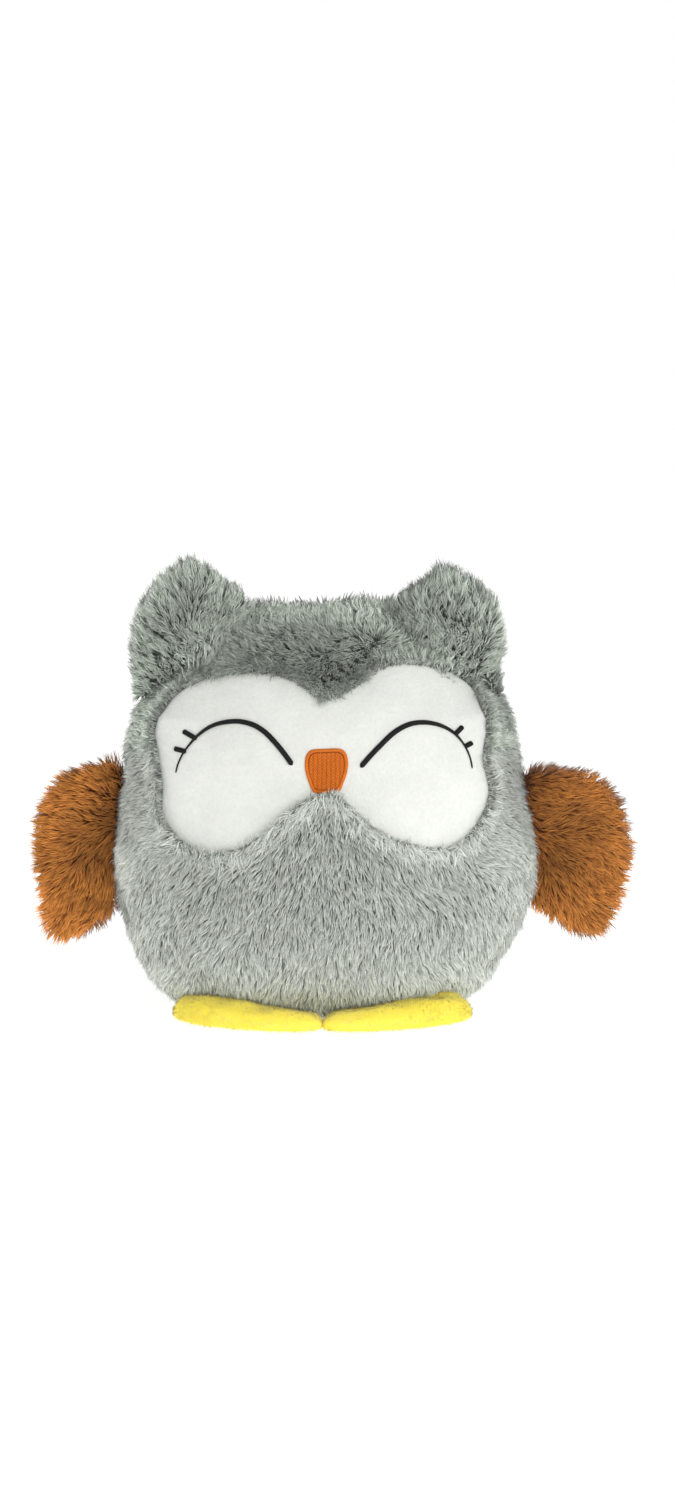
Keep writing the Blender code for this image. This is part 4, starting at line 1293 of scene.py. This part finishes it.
def ear_root_sheet(place, hand):
    """Pile over the fold between the forehead and an ear: straight lines from the forehead's
    cloth to the ear's front, over the upper part of the seam."""
    over, second = grid(10, 40)
    second = EAR_FOLD_SHARE * second
    seam = place(np.zeros_like(second), second)
    up = np.clip(up_share(seam[..., 2]) - 0.03, 0, 0.985)
    low = body_point(hand * np.full_like(second, EAR_FOLD_ANGLE), up, FRONT, PILE_DEPTH)
    high = place(np.full_like(second, 0.35), second)
    high[..., 1] -= 0.97 * limb_thickness(EAR_SKIN_SWELL[FRONT], second, EAR_EASE)
    points = lerp(low, high, over[..., None])
    normals = normals_of(points, np.array((0.0, -1.0, 0.4)))
    nap = unit(high - low) + 0.3 * UP
    # The fold's pile takes a darker tone of 0.70, painted shade in the fold
    return points, normals, nap, 1 - smooth_step(second, 0.34, 0.60), 0.85, 0.70


def limb_cloth(name, points, material, replaced):
    """Closed mesh of a limb's cloth, whose columns run round it and whose ends are flat."""
    rings = points[:, :-1]
    mesh = closed(new_mesh(name, rings.reshape(-1, 3), [quads_of(ring_index(rings.shape))]))
    return add_piece(mesh, material, None, replaced)


def make_ears():
    """Ears: a stuffed cloth with pile."""
    for side, hand in (("left", LEFT), ("right", RIGHT)):
        place, out, root = ear_place(hand)
        points, normals, nap, first, second = limb_skin(place, EAR_SKIN_SWELL, EAR_START, EAR_EASE)
        ear = [f"{side}_ear_{part}" for part in ("front", "back", "filling")]
        pieces = [limb_cloth(f"{side}_ear_cloth", points, GREY_CLOTH, ear)]
        rim = place(np.ones_like(first), second)
        level = np.cross(np.gradient(rim, axis=0), (0.0, 1.0, 0.0))
        level = unit(level) * np.sign((level * (rim - root)).sum(-1, keepdims=True))
        nap = nap + level * np.clip(first, 0, 1)[..., None]
        upward = 0.8 * np.sin(math.pi * second) ** 2 - 0.4 * smooth_step(second, 0.75, 1.0)
        nap = nap + upward[..., None] * UP
        outside = np.where(first > EAR_BARE, 1.0, 0.0) * smooth_step(second, 0.0, 0.09)
        length = 1 - 0.35 * smooth_step(second, 0.85, 1.0)
        length += 0.35 * smooth_step(first, 0.7, 1.0) * bell(second, *EAR_TUFT)
        # Painted shade in the middle of the ear, lighter towards its rim and ends
        painted_shade = np.sin(math.pi * np.clip(first, 0, 1) ** 0.8) * np.sin(math.pi * second) ** 0.5
        sheet = (points, normals, nap, outside, length, 0.98 - 0.34 * painted_shade)
        for name, surface, look, seed in (
            (f"{side}_ear_pile", sheet, EAR_PILE, 21),
            (f"{side}_ear_fold_pile", ear_root_sheet(place, hand), EAR_FOLD_PILE, 61),
        ):
            pieces += make_pile([name], TUFTED_FUR, surface, look, seed + hand)
        for piece in pieces:
            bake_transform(piece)


def make_wings():
    """Wings: a flat stuffed cloth with pile."""
    for side, hand in (("left", LEFT), ("right", RIGHT)):
        place = wing_place(hand)
        points, normals, nap, first, second = limb_skin(place, WING_SKIN_SWELL, WING_START)
        wing = [f"{side}_wing_{part}" for part in ("front", "back", "filling")]
        pieces = [limb_cloth(f"{side}_wing_cloth", points, BROWN_CLOTH, wing)]
        outside = np.where(first > WING_BARE, 1.0, 0.0)
        # Painted light towards the rim
        tone = lerp(0.88, 1.10, smooth_step(first, 0.2, 0.9))
        # Painted shade and light in bands across the wing, where folds would shade it
        tone += 0.08 * ripple(points * (1.0, 1.0, 2.6), WING_FOLD_SHADE_WAVE, 61)
        # Painted light on the lower outer part
        tone += 0.40 * smooth_step(second, 0.48, 0.24) * smooth_step(first, 0.45, 1.0)
        sway = 0.9 * ripple(points, WING_SWAY_WAVE, 62) * smooth_step(first, 0.7, 1.0)
        sheet = (points, normals, nap + vectors(0, sway, 0), outside, 1.0, tone * WING_PAINTED_LIGHT[hand])
        names = [f"{side}_wing_pile"]
        pieces += make_pile(names, BROWN_FUR, sheet, BROWN_PILE, 31 + hand)
        for piece in pieces:
            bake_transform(piece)


def make_feet():
    """Feet of yellow velour: a flat pouch, rounded above, with a seam round its edge."""

    def root_point(share):
        angle = lerp(*FOOT_ROOT_ANGLES, share)
        return section_point(angle, 0 * angle, FRONT) * (1, 1, 0)

    inner, outer = (root_point(np.array(share)) for share in (0.0, 1.0))
    along = outer - inner
    out = unit(np.array((along[1], -along[0], 0)))
    for side, hand in (("left", LEFT), ("right", RIGHT)):
        around, second = grid(84, 90)
        angle = 2 * math.pi * around
        first = lerp(*FOOT_ENDS, (1 - np.cos(angle)) / 2)
        far = outline_points(FOOT_OUTLINE_SHARES, second)
        rim = inner + along * far[..., :1] + out * (far[..., 1:] * FOOT_DEPTH)
        points = lerp(root_point(second), rim, first[..., None]) * (hand, 1, 1) + (FOOT_DRIFT, 0, 0)
        full = np.clip(1 - (2 * second - 1) ** 6, 0, 1) ** 0.5
        above = np.sin(angle) > 0
        rise = np.where(above, FOOT_TOP - FOOT_SEAM_HEIGHT, FOOT_SEAM_HEIGHT - FOOT_SOLE)
        rise = rise * np.where(above, lerp(0.40, 1.12, smooth_step(second, 0.0, 0.8)), 1.0)
        lift = np.abs(np.sin(angle)) ** np.where(above, 0.75, 0.45)
        points[..., 2] = FOOT_SEAM_HEIGHT + np.sign(np.sin(angle)) * rise * lift * full
        crease = FOOT_CREASE * ripple(points * (1.0, 2.0, 1.0), FOOT_CREASE_WAVE, 41 + hand)
        points[..., 2] += np.where(above, crease * lift * full, 0)
        nodes = [f"{side}_foot_{part}" for part in ("top", "sole", "filling")]
        foot = limb_cloth(f"{side}_foot_velour", points, YELLOW_VELOUR, nodes)
        middle = (inner + along / 2) * (hand, 1, 1)
        away = out * (hand, 1, 1)
        normals = normals_of(points, points - middle * (1, 1, 0) - away * 0.012)
        forward = np.broadcast_to(away + UP * 0.15, points.shape)
        # Painted shade where the foot meets the body, under the belly
        tone = lerp(0.88, 1.0, smooth_step(first, 0.10, 0.30))
        sheet = (points, normals, forward, np.where(above, 1.0, 0.35), 1.0, tone)
        names = [f"{side}_foot_pile"]
        look, seed = YELLOW_PILE, 51 + hand
        pile_pieces = make_pile(names, YELLOW_PILE_FINISH, sheet, look, seed)
        for piece in (foot, *pile_pieces):
            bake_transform(piece)


def seen_directly(tree):
    """1 for rays from the camera or off a glossy surface, and 0 for others; also all the kinds."""
    kinds = node(tree, "LightPath").outputs
    return worked(tree, "MAXIMUM", kinds["Is Camera Ray"], kinds["Is Glossy Ray"]), kinds


def make_floor():
    """Floor of the stage, white paper that glows a little, and more where it is seen directly."""
    corners = FLOOR_REACH * np.array(((-1, -1, 0), (1, -1, 0), (1, 1, 0), (-1, 1, 0)))
    mesh = new_mesh("floor", corners, [np.arange(4)[None]])
    floor = bpy.data.objects.new("floor", mesh)
    bpy.context.scene.collection.objects.link(floor)
    material, tree, shader = fabric("floor_paper", 1.0)
    adjust(tree, shader, Base_Color=(0.8, 0.8, 0.79), Specular_IOR_Level=0.0)
    glow = worked(tree, "MULTIPLY_ADD", seen_directly(tree)[0], 0.17, 0.50)
    adjust(tree, shader, Emission_Color=(1, 1, 1), Emission_Strength=glow)
    mesh.materials.append(material)


def make_surroundings():
    """White surroundings, which light the owl at half strength."""
    world = bpy.data.worlds.new("studio")
    world.use_nodes = True
    tree = world.node_tree
    tree.nodes.clear()
    soft, white = (
        node(tree, "Background", Color=(1, 1, 1), Strength=strength).outputs[0]
        for strength in (0.50, 1.0)
    )
    seen, kinds = seen_directly(tree)
    seen = worked(tree, "MAXIMUM", seen, kinds["Is Transmission Ray"])
    node(tree, "OutputWorld", node(tree, "MixShader", seen, soft, white).outputs[0])
    bpy.context.scene.world = world


def make_lights():
    """Soft round lights, each aimed at its target, and a narrow one for the feet."""
    for name, place, target, size, power, spread in LIGHTS:
        data = bpy.data.lights.new(name, "AREA")
        data.shape = "DISK"
        data.size = size
        data.energy = power
        data.spread = math.radians(spread)
        lamp = bpy.data.objects.new(name, data)
        lamp.location = place
        aim = Vector(target) - lamp.location
        lamp.rotation_euler = aim.to_track_quat("-Z", "Y").to_euler()
        bpy.context.scene.collection.objects.link(lamp)


def make_camera():
    """Camera at the photograph's angle. Its shift puts the floor's origin at its pixel."""
    data = bpy.data.cameras.new("camera")
    data.sensor_fit = "VERTICAL"
    data.sensor_height = 36
    data.lens = data.sensor_height * CAMERA_DISTANCE / (PHOTO_HEIGHT * PHOTO_SCALE)
    below = AIM_HEIGHT * math.cos(CAMERA_ELEVATION)
    below /= 1 + AIM_HEIGHT * math.sin(CAMERA_ELEVATION) / CAMERA_DISTANCE
    seen_down = PHOTO_HEIGHT / 2 + below / PHOTO_SCALE
    data.shift_x = (PHOTO_WIDTH / 2 - ORIGIN_PLACE[0]) / PHOTO_HEIGHT
    data.shift_y = (ORIGIN_PLACE[1] - seen_down) / PHOTO_HEIGHT
    camera = bpy.data.objects.new("camera", data)
    back = CAMERA_DISTANCE * math.cos(CAMERA_ELEVATION)
    rise = CAMERA_DISTANCE * math.sin(CAMERA_ELEVATION)
    camera.location = (0, -back, AIM_HEIGHT + rise)
    camera.rotation_euler = (math.radians(90) - CAMERA_ELEVATION, 0, 0)
    bpy.context.scene.collection.objects.link(camera)
    bpy.context.scene.camera = camera


PILE_GROUP = pile_group()
VELOUR_GROUP = velour_group()
GREY_FUR = pile_material("grey_fur_pile", GREY, 0.28, 0.08)
TUFTED_FUR = pile_material("grey_fur_tufted", TUFTED, 0.44, 0.10)
BROWN_FUR = pile_material("brown_fur_pile", BROWN, 0.36, 0.12)
YELLOW_PILE_FINISH = pile_material("yellow_velour_pile", YELLOW, 0.12, 0.05)
GREY_CLOTH = cloth_material("grey_backing", (0.16, 0.175, 0.16))
BROWN_CLOTH = cloth_material("brown_backing", (0.11, 0.038, 0.01))
FILLING = cloth_material("polyester_wadding", (0.75, 0.76, 0.74))
WHITE_VELOUR = velour_material("white_velour_nap", (0.785, 0.795, 0.755), 0.20, 560.0, 1.0)
YELLOW_VELOUR = velour_material("yellow_velour_nap", (1.0, 0.84, 0.08), 0.14, 900.0, 0.8)
ORANGE_THREAD = thread_material("orange_thread_satin", (0.69, 0.175, 0.016), 0.5)
BLACK_THREAD = thread_material("black_thread_satin", (0.009, 0.009, 0.0095), 0.6)

make_camera()
make_floor()
make_surroundings()
make_lights()
make_front()
make_back()
make_crown()
make_stuffing()
make_base()
make_face()
make_eyes()
make_beak()
make_ears()
make_wings()
make_feet()

bpy.context.scene.view_settings.view_transform = "Standard"
